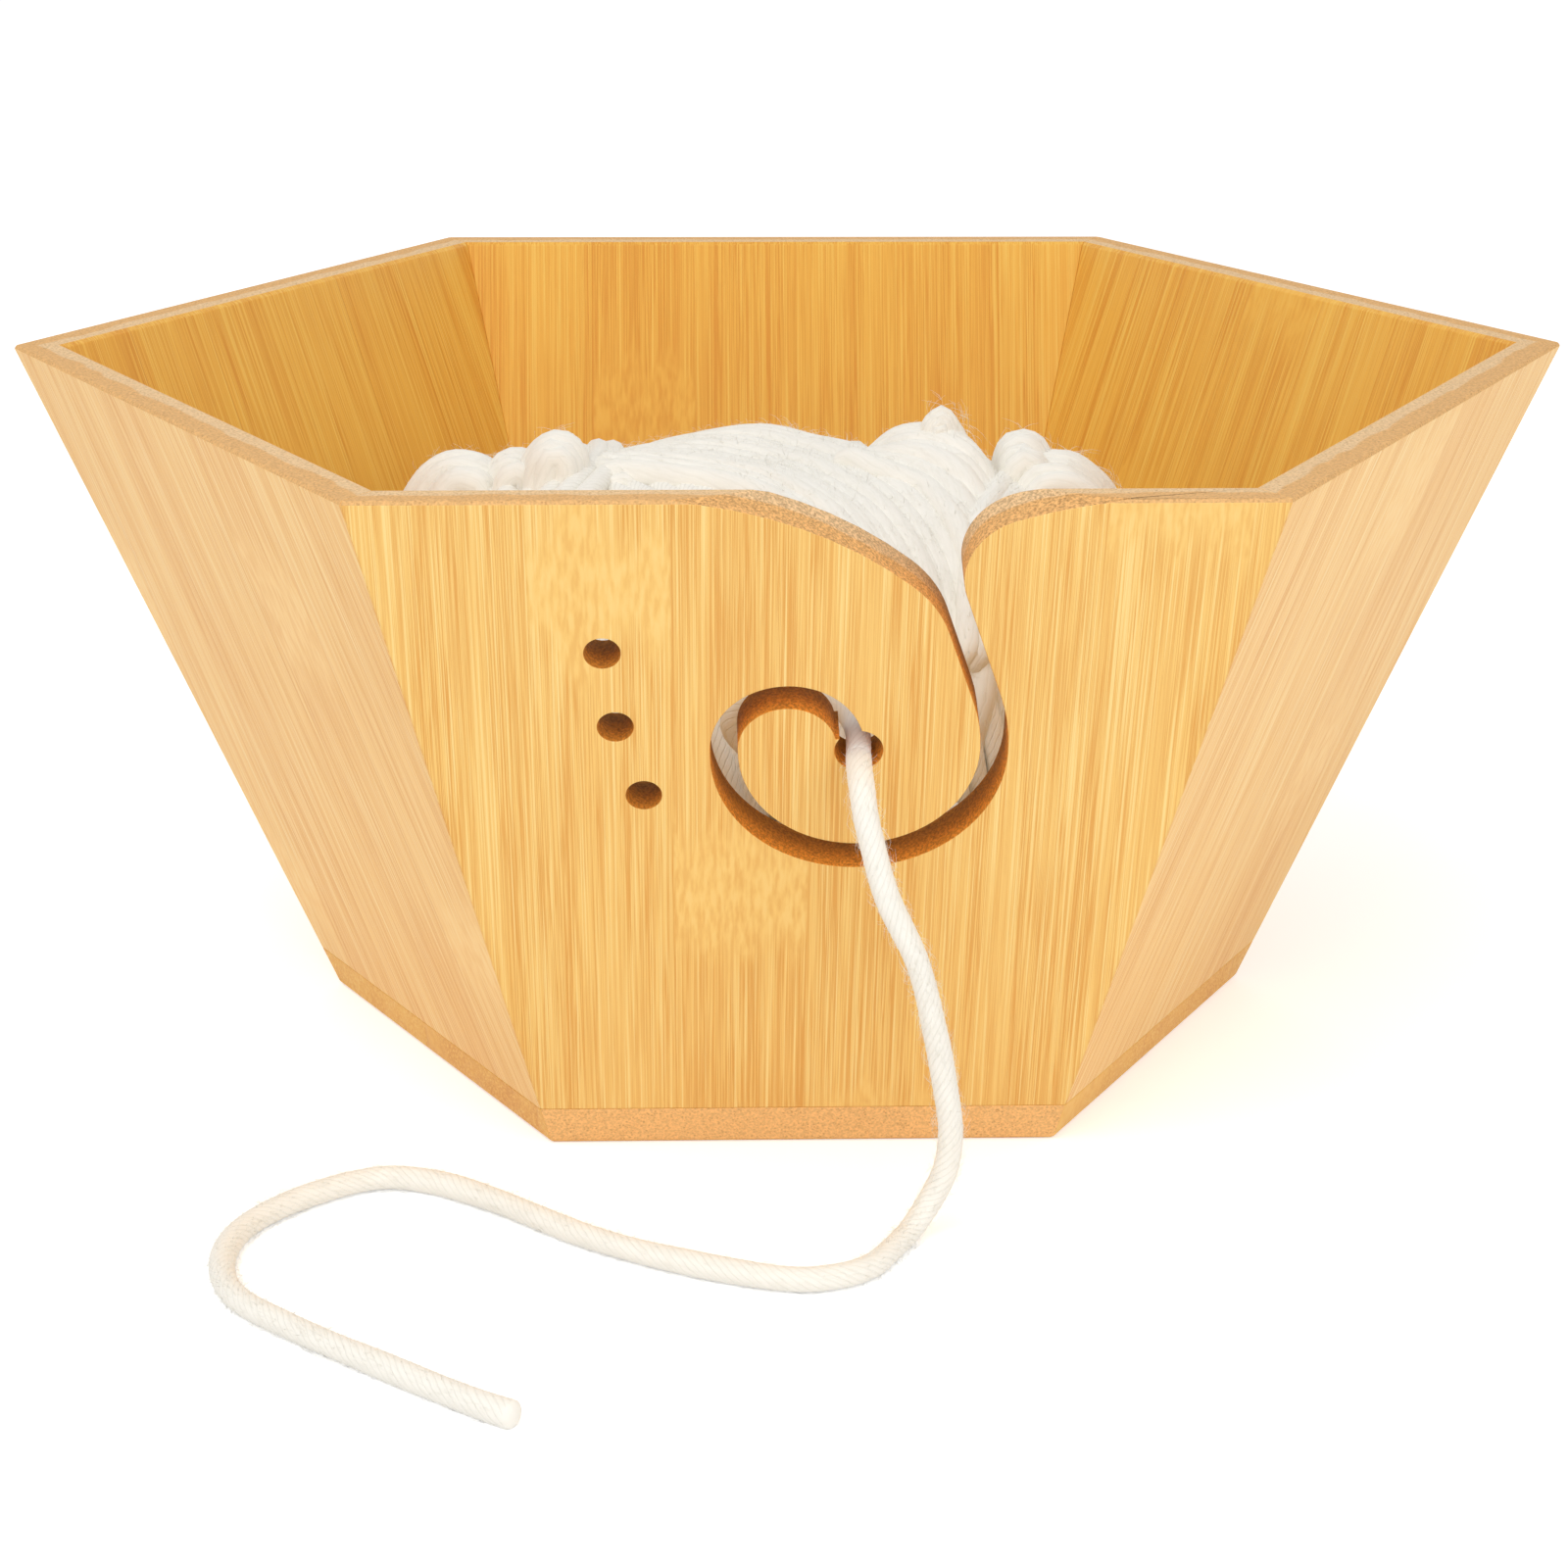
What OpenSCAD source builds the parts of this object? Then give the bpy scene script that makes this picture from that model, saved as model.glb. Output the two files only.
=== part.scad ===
// Yarn dispenser: a flared six-sided bamboo bowl with a spiral yarn guide
// cut through its front panel, a ball of yarn inside it, and the yarn's
// working end led out through the guide and laid on the table.
// Millimetres, +Z up. The origin is the middle of the underside.

/* [Bowl] */
// Distance from the bowl's axis to a corner of the rim
rim_r = 115; // [100:1:140]
// Distance from the bowl's axis to a corner of the underside
foot_r = 70.5; // [62:0.5:84]
// Height of the bowl from the table to the rim
bowl_h = 101.5; // [92:0.5:130]
// Thickness of the six side boards
board_t = 6; // [4:0.5:8]
// Thickness of the base plate
base_t = 6.2; // [4:0.2:10]
// Width of the eased arris round the rim and round the underside
arris = 0.5; // [0.2:0.1:1]

/* [Spiral yarn guide] */
// Width of the slot that the yarn slides along
slot_w = 3.5; // [3:0.1:5]
// Diameter of the eye at the slot's inner end
eye_d = 6.2; // [5.4:0.1:8]
// Distance of the curl's middle to the right of the panel's middle
curl_x = 6; // [0:0.5:12]
// Distance of the curl's middle below the rim, down the slope
curl_depth = 38.5; // [34:0.5:46]
// Radius of the round tongue that the slot curls about
curl_r = 15.5; // [14:0.5:18]
// Radius of the small hook over the eye
hook_r = 6.3; // [5.5:0.1:7.5]
// Slope of the slot's way in, measured from straight down, in degrees
lead_lean = 18; // [14:1:22]

/* [Needle holes] */
// Diameter of each round hole beside the spiral
hole_d = 4.6; // [3:0.1:6]
// Number of round holes
hole_n = 3; // [2:1:4]
// Distance between the holes' middles
hole_pitch = 11.7; // [9:0.1:14]
// Distance of the middle hole from the panel's middle
hole_x = 25; // [22:0.5:30]
// Distance of the middle hole below the rim, down the slope
hole_depth = 34.5; // [30:0.5:44]

/* [Yarn] */
// Diameter of the yarn
yarn_d = 3.4; // [2.8:0.1:3.4]
// Free space between the ball's widest loops and the boards
ball_side_gap = 10; // [9:0.5:20]
// Distance of the ball's top below the rim
ball_below_rim = 13; // [10:0.5:30]
// Number of loops wound over the ball's core
loops = 20; // [10:1:22]

/* [Hidden] */
SIDES = 6;
half_turn = 180 / SIDES;
rim_ap = rim_r * cos(half_turn);
foot_ap = foot_r * cos(half_turn);
// outward run of a side for each millimetre of height, and its angle from upright
flare = (rim_ap - foot_ap) / bowl_h;
tilt = atan(flare);
// width of a board's level top edge
rim_w = board_t / cos(tilt);
// how far a cutter passes the face that it cuts
over = 2;

// the yarn ball: a squashed ball whose outer loops lie on its core
seat_gap = 0.3;
ball_bottom = base_t + seat_gap;
ball_top = bowl_h - ball_below_rim;
ball_mid = (ball_bottom + ball_top) / 2;
ball_rz = (ball_top - ball_bottom) / 2;
ball_rx = inside_ap(ball_mid) - ball_side_gap;
// exponent of the ball's upright outline: 2 is an ellipse, more is squarer
squash = 2.4;
core_steps = 24;
// direction of the axis that the outer loops wind round, in degrees
wind_turn = 40;
wind_rise = 20;
// polar angle at which the first and the last loop lie
wind_start = 14;
loop_rings = 24;
loop_sides = 6;
loop_tol = 0.4;
// how far a loop's straight chords dip towards the core between its rings
loop_dip = ball_rx * (1 - cos(180 / loop_rings));
// the loops' gap to the core at the ball's waist, about half of which is left at its shoulders
core_gap = 0.6;
core_rx = ball_rx - yarn_d - core_gap - loop_dip;
core_rz = ball_rz - yarn_d - core_gap - loop_dip;

// curve radii of the slot's way in, along the tongue and along the mouth
tongue_rim_r = 52;
tongue_rim_end = 48.6;
tongue_bend_r = 16;
mouth_rim_r = 55;
mouth_rim_end = 19.4;
mouth_bend_r = 9;
way_in_r = 24.4;
// extra width of the slot under the curl, where the yarn bears
curl_sag = 0.5;
arc_step = 5;
// radius of the gentle arc that the round holes stand on, and its slope at the middle hole
hole_arc_r = 66;
hole_arc_lean = 12.2;

strand_sides = 8;
strand_steps = 2;

FRONT_WOOD = [0.94, 0.75, 0.45];
SIDE_WOOD = [0.95, 0.77, 0.55];
BACK_WOOD = [0.91, 0.70, 0.40];
BASE_WOOD = [0.88, 0.67, 0.42];
YARN_WHITE = [0.95, 0.94, 0.89];

// apothem of the bowl's outside and of its inside at a height
function outside_ap(z) = foot_ap + flare * z;
function inside_ap(z) = outside_ap(z) - rim_w;

function unit(v) = v / norm(v);

// points along an arc from angle a to angle b, whichever way round that is
function arc(centre, r, a, b) =
    let (n = max(1, ceil(abs(b - a) / arc_step)))
    [for (i = [0:n]) centre + r * [cos(a + (b - a) * i / n), sin(a + (b - a) * i / n)]];

// The slot's outline lies on the front board's outer face, x to the right and
// y up the slope, with y = 0 on the rim. The tongue's edge runs from the rim
// down to the eye, and the mouth's edge from the eye back up to the rim.
curl = [curl_x, -curl_depth];
hook = curl + [hook_r - curl_r, 0.5];
way_in = curl + [curl_r - way_in_r, 0];
tongue_foot = way_in + way_in_r * [cos(lead_lean), sin(lead_lean)];
mouth_foot = way_in + (way_in_r + slot_w) * [cos(lead_lean), sin(lead_lean)];
slope = [-sin(lead_lean), cos(lead_lean)];

// along the tongue: the straight's top end, the bend's middle and the rim curve's middle
tongue_bend_y = -tongue_rim_r * (1 - sin(tongue_rim_end))
    - tongue_bend_r * (sin(tongue_rim_end) - sin(lead_lean));
tongue_top = tongue_foot + slope * (tongue_bend_y - tongue_foot.y) / slope.y;
tongue_bend = tongue_top - tongue_bend_r * [cos(lead_lean), sin(lead_lean)];
tongue_rim = tongue_bend
    + (tongue_bend_r - tongue_rim_r) * [cos(tongue_rim_end), sin(tongue_rim_end)];

// along the mouth: the same, on the other side of the slot
mouth_bend_y = -mouth_rim_r * (1 - cos(mouth_rim_end)) - mouth_bend_r * cos(mouth_rim_end)
    - mouth_bend_r * sin(lead_lean);
mouth_top = mouth_foot + slope * (mouth_bend_y - mouth_foot.y) / slope.y;
mouth_bend = mouth_top + mouth_bend_r * [cos(lead_lean), sin(lead_lean)];
mouth_rim = mouth_bend
    + (mouth_rim_r - mouth_bend_r) * [sin(mouth_rim_end), -cos(mouth_rim_end)];

// outward direction of the front board's holes
eye_axis = [0, -cos(tilt), -sin(tilt)];
// the eye lies at the end of the slot's middle line, where the hook comes down
eye = hook + [hook_r + slot_w / 2 + 1.1, -0.5];
hook_end = 12;

slot_outline = concat(
    arc(tongue_rim, tongue_rim_r, 90, tongue_rim_end),
    arc(tongue_bend, tongue_bend_r, tongue_rim_end, lead_lean),
    arc(way_in, way_in_r, lead_lean, 0),
    arc(curl, curl_r, -arc_step, -180),
    arc(hook, hook_r, 180, hook_end),
    arc(hook, hook_r + slot_w, hook_end, 180),
    arc(curl - [0, curl_sag], curl_r + slot_w, 180, 360),
    arc(way_in, way_in_r + slot_w, arc_step, lead_lean),
    arc(mouth_bend, mouth_bend_r, 180 + lead_lean, 90 + mouth_rim_end),
    arc(mouth_rim, mouth_rim_r, 90 + mouth_rim_end, 90),
    [[mouth_rim.x, over + arris], [tongue_rim.x, over + arris]]);

// middles of the round holes, spaced along their arc about the middle hole
hole_turn = 2 * asin(hole_pitch / 2 / hole_arc_r);
hole_row = [-hole_x, -hole_depth] + hole_arc_r * [cos(hole_arc_lean), sin(hole_arc_lean)];
hole_places = [for (i = [0:hole_n - 1])
    let (a = 180 + hole_arc_lean + (i - (hole_n - 1) / 2) * hole_turn)
    hole_row + hole_arc_r * [cos(a), sin(a)]];

// a place near the eye: across and down the board from the eye's middle, and out from the
// board's outer face
function by_eye(across, below, out) =
    let (down = below - eye.y)
    [eye.x + across,
     -rim_ap + down * sin(tilt) - out * cos(tilt),
     bowl_h - down * cos(tilt) - out * sin(tilt)];
// a place beside the ball: its turn from the front, its gap to the ball and its rise
function by_ball(turn, gap, rise) =
    let (r = ball_rx + gap)
    [r * sin(turn), -r * cos(turn), ball_mid + rise];
// the yarn bears on the eye's lower side
eye_rest = (eye_d - yarn_d) / 2 - 0.3;

// the yarn's way from the ball's right side, behind the curl and out through the eye
lead_route = [
    by_ball(27.6, 2, -0.5), by_ball(17.6, 3.4, 1.5), by_ball(6.9, 4.3, 5.5),
    by_ball(-2.5, 5.9, 10.5),
    by_eye(-15.4, 7.5, -board_t - 8.2), by_eye(-13.5, 2.8, -board_t - 8.4),
    by_eye(-6.8, 1.2, -board_t - 6.9), by_eye(-2, eye_rest, -board_t - 4.8),
    by_eye(0, eye_rest, -board_t), by_eye(0, eye_rest, 0)];

// where the free end has turned down in front of the eye
drop = by_eye(1.4, eye_rest + 5.9, 9.8);
function hanging(dx, dy, share) = [drop.x + dx, drop.y + dy, drop.z * share];
function lying(dx, dy) = [drop.x + dx, drop.y + dy, yarn_d / 2];
// the free end: out of the eye, down in front of the bowl and along the table
strand_route = [
    by_eye(0, eye_rest, 0), by_eye(0, eye_rest, 2.4), by_eye(0.2, eye_rest + 0.6, 5.3),
    by_eye(0.6, eye_rest + 2.8, 8), drop,
    hanging(2.1, -0.2, 0.865), hanging(6.1, -0.1, 0.703), hanging(8.6, 0.6, 0.523),
    hanging(10.1, 1.1, 0.378), hanging(10.9, 1.6, 0.27), hanging(10.4, 1.8, 0.171),
    hanging(8.4, 1.4, 0.09), hanging(5.6, -1.4, 0.036),
    lying(3.1, -5.9), lying(0.1, -10.9), lying(-4.4, -13.9), lying(-11.4, -14.4),
    lying(-23.9, -9.4), lying(-36.4, -1.9), lying(-49.4, 9.6), lying(-58.4, 15.6),
    lying(-66.4, 16.6), lying(-75.9, 10.1), lying(-81.9, 1.6), lying(-83.4, -8.4),
    lying(-80.4, -17.9), lying(-72.4, -26.4), lying(-59.4, -37.4), lying(-49.4, -45.4),
    lying(-44.4, -48.9)];

// Catmull-Rom curve through a route, with the given number of steps a span
function along(p, k, u) =
    let (n = len(p), a = p[max(k - 1, 0)], b = p[k], c = p[k + 1], d = p[min(k + 2, n - 1)])
    0.5 * (2 * b + (c - a) * u + (2 * a - 5 * b + 4 * c - d) * u * u
        + (3 * b - a - 3 * c + d) * u * u * u);
function smooth(p, steps) = concat(
    [for (k = [0:len(p) - 2]) for (s = [0:steps - 1]) along(p, k, s / steps)],
    [p[len(p) - 1]]);

// direction of a path at each of its points
function tangents(p) = let (n = len(p))
    [for (i = [0:n - 1]) unit(p[min(i + 1, n - 1)] - p[max(i - 1, 0)])];

// one side direction carried along the path, so that the tube doesn't twist
function carried(ts, i, side) =
    i >= len(ts) ? []
    : let (s = unit(side - (side * ts[i]) * ts[i])) concat([s], carried(ts, i + 1, s));

// points of a tube: a ring of the given number of sides round each path point
function rings(p, ts, side, r, sides) =
    [for (i = [0:len(p) - 1]) for (k = [0:sides - 1])
        let (up = cross(ts[i], side[i]), a = 360 * k / sides)
        p[i] + r * (cos(a) * side[i] + sin(a) * up)];

// triangles of a tube with closed ends
function tube_faces(n, sides) = concat(
    [for (k = [1:sides - 2]) [0, k, k + 1]],
    [for (i = [0:n - 2]) for (k = [0:sides - 1])
        let (a = i * sides + k, b = i * sides + (k + 1) % sides)
        each [[a, a + sides, b + sides], [a, b + sides, b]]],
    [for (k = [1:sides - 2]) let (e = (n - 1) * sides) [e, e + k + 1, e + k]]);

module tube(p, ts, side, r, sides) {
    polyhedron(points = rings(p, ts, side, r, sides), faces = tube_faces(len(p), sides));
}

// A strand along a route, never lower than the table. Its two ends are square
// to the directions given, so that the two strands in the eye meet face to face.
module cord(route, start, end) {
    p = [for (q = smooth(route, strand_steps)) [q.x, q.y, max(q.z, yarn_d / 2)]];
    inner = tangents(p);
    last = len(p) - 1;
    ts = [for (i = [0:last]) i == 0 ? start : i == last ? end : inner[i]];
    tube(p, ts, carried(ts, 0, [1, 0, 0.3]), yarn_d / 2, strand_sides);
}

// Everything drawn inside it is placed on the front board's outer face.
module on_front_face() {
    translate([0, -rim_ap, bowl_h]) rotate([90 + tilt, 0, 0]) children();
}

// An upright profile, y outward to the front and z up, drawn the full width.
module full_width(profile) {
    rotate([90, 0, 90]) linear_extrude(3 * rim_r, center = true) polygon(profile);
}

// One side board: a leaning slab with eased rim arrises, mitred at both ends
// so that six of them close round the bowl.
module side_board() {
    intersection() {
        full_width([
            [-outside_ap(base_t), base_t],
            [-outside_ap(bowl_h - arris), bowl_h - arris],
            [-outside_ap(bowl_h) + arris, bowl_h],
            [-inside_ap(bowl_h) - arris, bowl_h],
            [-inside_ap(bowl_h - arris), bowl_h - arris],
            [-inside_ap(base_t), base_t]]);
        linear_extrude(bowl_h + over)
            polygon([[0, 0], [-2 * rim_r * tan(half_turn), -2 * rim_r],
                     [2 * rim_r * tan(half_turn), -2 * rim_r]]);
    }
}

// The base plate: a six-sided plate whose edges carry on the boards' slope.
module base_plate() {
    half = [[foot_ap - arris, 0], [outside_ap(arris), arris], [outside_ap(base_t), base_t]];
    color(BASE_WOOD)
    intersection_for (i = [0:SIDES / 2 - 1])
        rotate([0, 0, i * 2 * half_turn])
            full_width([half[0], half[1], half[2], [-half[2].x, base_t], [-half[1].x, arris],
                        [-half[0].x, 0]]);
}

// The front board: the spiral slot, the eye at its inner end and the round holes.
module front_panel() {
    color(FRONT_WOOD)
    difference() {
        side_board();
        on_front_face() translate([0, 0, -board_t - over]) {
            linear_extrude(board_t + 2 * over) polygon(slot_outline);
            translate(eye) cylinder(h = board_t + 2 * over, d = eye_d, $fn = 64);
            for (place = hole_places)
                translate(place) cylinder(h = board_t + 2 * over, d = hole_d, $fn = 64);
        }
    }
}

module plain_board(place, wood) {
    color(wood) rotate([0, 0, place * 2 * half_turn]) side_board();
}

module front_right_panel() { plain_board(1, SIDE_WOOD); }
module back_right_panel() { plain_board(2, BACK_WOOD); }
module back_panel() { plain_board(3, BACK_WOOD); }
module back_left_panel() { plain_board(4, BACK_WOOD); }
module front_left_panel() { plain_board(5, SIDE_WOOD); }

// point of the squashed ball's surface in a direction from its middle
function on_ball(dir, rx, rz) =
    dir / pow(pow(norm([dir.x, dir.y]) / rx, squash) + pow(abs(dir.z) / rz, squash), 1 / squash);

// direction of the winding after a share t of its length, turned to the winding's axis
function wind_dir(t) =
    let (polar = wind_start + (180 - 2 * wind_start) * t,
         around = 360 * loops * t,
         v = [sin(polar) * cos(around), sin(polar) * sin(around), cos(polar)],
         lean = 90 - wind_rise,
         w = [v.x * cos(lean) + v.z * sin(lean), v.y, v.z * cos(lean) - v.x * sin(lean)])
    [w.x * cos(wind_turn) - w.y * sin(wind_turn), w.x * sin(wind_turn) + w.y * cos(wind_turn), w.z];

wound = let (n = loops * loop_rings)
    [for (i = [0:n]) on_ball(wind_dir(i / n), ball_rx - yarn_d / 2, ball_rz - yarn_d / 2)];
wound_last = len(wound) - 1;
// the winding's two ends run straight on for one diameter
winding_path = concat(
    [wound[0] + yarn_d * unit(wound[0] - wound[1])],
    wound,
    [wound[wound_last] + yarn_d * unit(wound[wound_last] - wound[wound_last - 1])]);
// least gap between one loop and the next, measured on the path's own points
winding_gap = min([for (i = [1:wound_last - loop_rings * 2])
    min([for (j = [i + loop_rings / 2:i + loop_rings * 3 / 2])
        norm(winding_path[j] - winding_path[i])])]) - yarn_d;

module yarn_core() {
    function rounded(v) = sign(v) * pow(abs(v), 2 / squash);
    color(YARN_WHITE)
    translate([0, 0, ball_mid])
        rotate_extrude($fn = 96)
            polygon(concat(
                [[0, -core_rz]],
                [for (i = [1:core_steps - 1]) let (a = -90 + 180 * i / core_steps)
                    [core_rx * rounded(cos(a)), core_rz * rounded(sin(a))]],
                [[0, core_rz]]));
}

module yarn_winding() {
    color(YARN_WHITE)
    translate([0, 0, ball_mid])
        tube(winding_path, tangents(winding_path), outward(winding_path), yarn_d / 2, loop_sides);
}

// direction away from the ball's middle, square to the path
function outward(p) = let (ts = tangents(p))
    [for (i = [0:len(p) - 1]) unit(p[i] - (p[i] * ts[i]) * ts[i])];

module yarn_lead() {
    color(YARN_WHITE) cord(lead_route, unit(lead_route[1] - lead_route[0]), eye_axis);
}

module yarn_strand() {
    last = len(strand_route) - 1;
    color(YARN_WHITE)
    cord(strand_route, eye_axis, unit(strand_route[last] - strand_route[last - 1]));
}

echo(winding_gap = winding_gap, wide_enough = winding_gap > loop_tol);

base_plate();
front_panel();
front_right_panel();
back_right_panel();
back_panel();
back_left_panel();
front_left_panel();
yarn_core();
yarn_winding();
yarn_lead();
yarn_strand();
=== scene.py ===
"""Looks of the yarn dispenser bowl: bamboo boards, a ball of yarn and its free end.

Every length is in metres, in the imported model's own frame: +Z up, the board
with the spiral guide faces -Y and the table is z = 0.
"""

import math

import bmesh
import bpy
import numpy as np
from mathutils import Matrix, Vector


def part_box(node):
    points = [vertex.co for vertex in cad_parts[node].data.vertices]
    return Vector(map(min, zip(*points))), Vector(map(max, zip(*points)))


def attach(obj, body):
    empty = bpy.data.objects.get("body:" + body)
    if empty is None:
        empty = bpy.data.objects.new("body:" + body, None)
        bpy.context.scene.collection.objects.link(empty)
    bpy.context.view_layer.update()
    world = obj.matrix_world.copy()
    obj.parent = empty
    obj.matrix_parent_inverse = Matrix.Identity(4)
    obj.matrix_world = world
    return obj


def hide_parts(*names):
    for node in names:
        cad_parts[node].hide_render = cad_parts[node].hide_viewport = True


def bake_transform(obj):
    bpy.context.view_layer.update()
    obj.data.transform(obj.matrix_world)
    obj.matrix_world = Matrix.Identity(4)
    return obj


bl_info = {
    "name": "Yarn Bowl",
    "version": (1, 0, 0),
    "blender": (4, 5, 0),
    "location": "3D View > Sidebar > Yarn Bowl",
    "description": "Builds the finish of a six-sided bamboo yarn bowl and its yarn",
    "category": "Add Mesh",
}

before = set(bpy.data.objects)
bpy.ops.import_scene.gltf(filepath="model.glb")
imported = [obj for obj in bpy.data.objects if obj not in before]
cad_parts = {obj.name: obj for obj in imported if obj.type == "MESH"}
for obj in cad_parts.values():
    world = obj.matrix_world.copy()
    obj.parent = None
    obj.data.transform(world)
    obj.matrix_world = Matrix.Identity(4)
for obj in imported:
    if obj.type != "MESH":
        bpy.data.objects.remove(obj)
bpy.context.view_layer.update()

MM = 0.001
TURN = 2 * math.pi
# What the attribute cut_wall says on a round hole's wall. On the slot's wall it is 1.
HOLE_MARK = 0.6
# Sides of the tubes that the yarn is made of. The free end shows its threads' ridges.
BAND_SIDES, HANK_SIDES, STRAND_SIDES = 10, 20, 40

# Each board's node, its colour in BoardSettings, where its grain pattern starts, and how strong
# its fibres and its strips' tones are. They stand round the bowl in this order.
BOARDS = [
    ("front_panel", "front_colour", 5.006, 1.2, 0.5),
    ("front_right_panel", "side_colour", 3.37, 0.95, 0.45),
    ("back_right_panel", "back_colour", 7.61, 1.05, 1.1),
    ("back_panel", "back_colour", 11.2, 1.05, 1.1),
    ("back_left_panel", "back_colour", 15.83, 1.05, 1.1),
    ("front_left_panel", "side_colour", 19.45, 0.95, 0.45),
]

# The yarn's free end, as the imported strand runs: out of the eye, down in front
# of the bowl and along the table.
STRAND_ROUTE = np.array([
    [5.95, -85.54, 64.48], [5.95, -87.78, 63.63], [6.15, -90.28, 62.04], [6.55, -92.02, 59.02],
    [7.35, -92.6, 55.48], [9.45, -92.8, 47.99], [13.45, -92.7, 39.01], [15.95, -92, 29.02],
    [17.45, -91.5, 20.97], [18.25, -91, 14.98], [17.75, -90.8, 9.49], [15.75, -91.2, 4.99],
    [12.95, -94, 2], [10.45, -98.5, 1.7], [7.45, -103.5, 1.7], [2.95, -106.5, 1.7],
    [-4.05, -107, 1.7], [-16.55, -102, 1.7], [-29.05, -94.5, 1.7], [-42.05, -83, 1.7],
    [-51.05, -77, 1.7], [-59.05, -76, 1.7], [-68.55, -82.5, 1.7], [-74.55, -91, 1.7],
    [-76.05, -101, 1.7], [-73.05, -110.5, 1.7], [-65.05, -119, 1.7], [-52.05, -130, 1.7],
    [-42.05, -138, 1.7], [-37.05, -141.5, 1.7],
]) * MM
# The slack yarn between the ball and the eye, behind the curl.
LEAD_ROUTE = np.array([
    [29.96, -57.31, 47], [19.98, -62.98, 49], [8.05, -66.49, 53], [-2.99, -68.51, 58],
    [-9.45, -69.99, 63.54], [-7.55, -71.47, 68], [-0.85, -73.44, 68.96], [3.95, -75.44, 68.31],
    [5.95, -79.93, 66.61], [5.95, -85.54, 64.48],
]) * MM


class BoardSettings(bpy.types.PropertyGroup):
    strip_width: bpy.props.FloatProperty(
        name="Strip width", description="Width of one glued bamboo strip",
        default=17.7 * MM, min=0.005, unit="LENGTH")
    ease: bpy.props.FloatProperty(
        name="Arris", description="Width of the sanded arrises",
        default=0.16 * MM, min=0.0, unit="LENGTH")
    front_colour: bpy.props.FloatVectorProperty(
        name="Front bamboo", description="Mean colour of the front board",
        default=(0.92, 0.580, 0.174), subtype="COLOR", size=3, min=0, max=1)
    side_colour: bpy.props.FloatVectorProperty(
        name="Side bamboo", description="Mean colour of the boards beside the front one",
        default=(0.96, 0.605, 0.212), subtype="COLOR", size=3, min=0, max=1)
    back_colour: bpy.props.FloatVectorProperty(
        name="Back bamboo", description="Mean colour of the back boards",
        default=(0.86, 0.465, 0.072), subtype="COLOR", size=3, min=0, max=1)
    end_colour: bpy.props.FloatVectorProperty(
        name="End grain", description="Mean colour of the rim's and the base's end grain",
        default=(0.80, 0.52, 0.26), subtype="COLOR", size=3, min=0, max=1)
    cut_colour: bpy.props.FloatVectorProperty(
        name="Cut wall", description="Colour of the slot's and the holes' walls",
        default=(0.63, 0.232, 0.025), subtype="COLOR", size=3, min=0, max=1)


class YarnSettings(bpy.types.PropertyGroup):
    diameter: bpy.props.FloatProperty(
        name="Yarn diameter", description="Width of the yarn",
        default=3.4 * MM, min=0.001, unit="LENGTH")
    plies: bpy.props.IntProperty(
        name="Plies", description="Threads twisted together in the yarn", default=10, min=2)
    twist: bpy.props.FloatProperty(
        name="Twist", description="Length in which a thread goes once round the yarn",
        default=13 * MM, min=0.002, unit="LENGTH")
    colour: bpy.props.FloatVectorProperty(
        name="Yarn colour", description="Colour of the yarn",
        default=(0.94, 0.91, 0.84), subtype="COLOR", size=3, min=0, max=1)
    hairs: bpy.props.IntProperty(
        name="Fibres on the free end", description="Fine fibres that stand out of the free end",
        default=6000, min=0)
    ball_hairs: bpy.props.IntProperty(
        name="Fibres on the ball", description="Fine fibres that stand out of the ball's top",
        default=9600, min=0)


class StageSettings(bpy.types.PropertyGroup):
    key_power: bpy.props.FloatProperty(
        name="Key light", description="Power of the large soft light above the bowl",
        default=5.0, min=0.0, unit="POWER")
    fill_power: bpy.props.FloatProperty(
        name="Fill light", description="Power of the soft light in front of the bowl",
        default=4.0, min=0.0, unit="POWER")
    light_size: bpy.props.FloatProperty(
        name="Light size", description="Side of both square soft lights",
        default=0.9, min=0.01, unit="LENGTH")
    sky: bpy.props.FloatProperty(
        name="Room light", description="Strength of the even light from all round",
        default=0.64, min=0.0)
    floor_glow: bpy.props.FloatProperty(
        name="Floor glow", description="White that the camera sees added to the floor's own",
        default=0.45, min=0.0)


def yarn_piece(name, points, faces, body, material, uv=None):
    """A smooth piece of yarn from arrays: points (n, 3), quads (m, 4) and their corners' UVs
    (m, 4, 2). A quad that names its last corner twice is a triangle. A piece that crosses a
    joint is given no body here."""
    mesh = bpy.data.meshes.new(name)
    three = faces[:, 2] == faces[:, 3]
    mesh.from_pydata(points.tolist(), [], faces[~three].tolist() + faces[three, :3].tolist())
    if uv is not None:
        layer = mesh.uv_layers.new(name="yarn")
        corners = np.concatenate([uv[~three].ravel(), uv[three, :3].ravel()])
        layer.data.foreach_set("uv", corners.astype(np.float32))
    mesh.polygons.foreach_set("use_smooth", np.ones(len(faces), bool))
    mesh.materials.append(material)
    mesh.update()
    piece = bpy.data.objects.new(name, mesh)
    bpy.context.scene.collection.objects.link(piece)
    if body:
        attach(piece, body)
    return piece


def grid_faces(rows, sides):
    """Quads of a tube's side: row i and its next, side k and its next, closed round the tube."""
    i, k = np.meshgrid(np.arange(rows - 1), np.arange(sides), indexing="ij")
    a = i * sides + k
    b = i * sides + (k + 1) % sides
    return np.stack([a, b, b + sides, a + sides], axis=-1).reshape(-1, 4)


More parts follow.
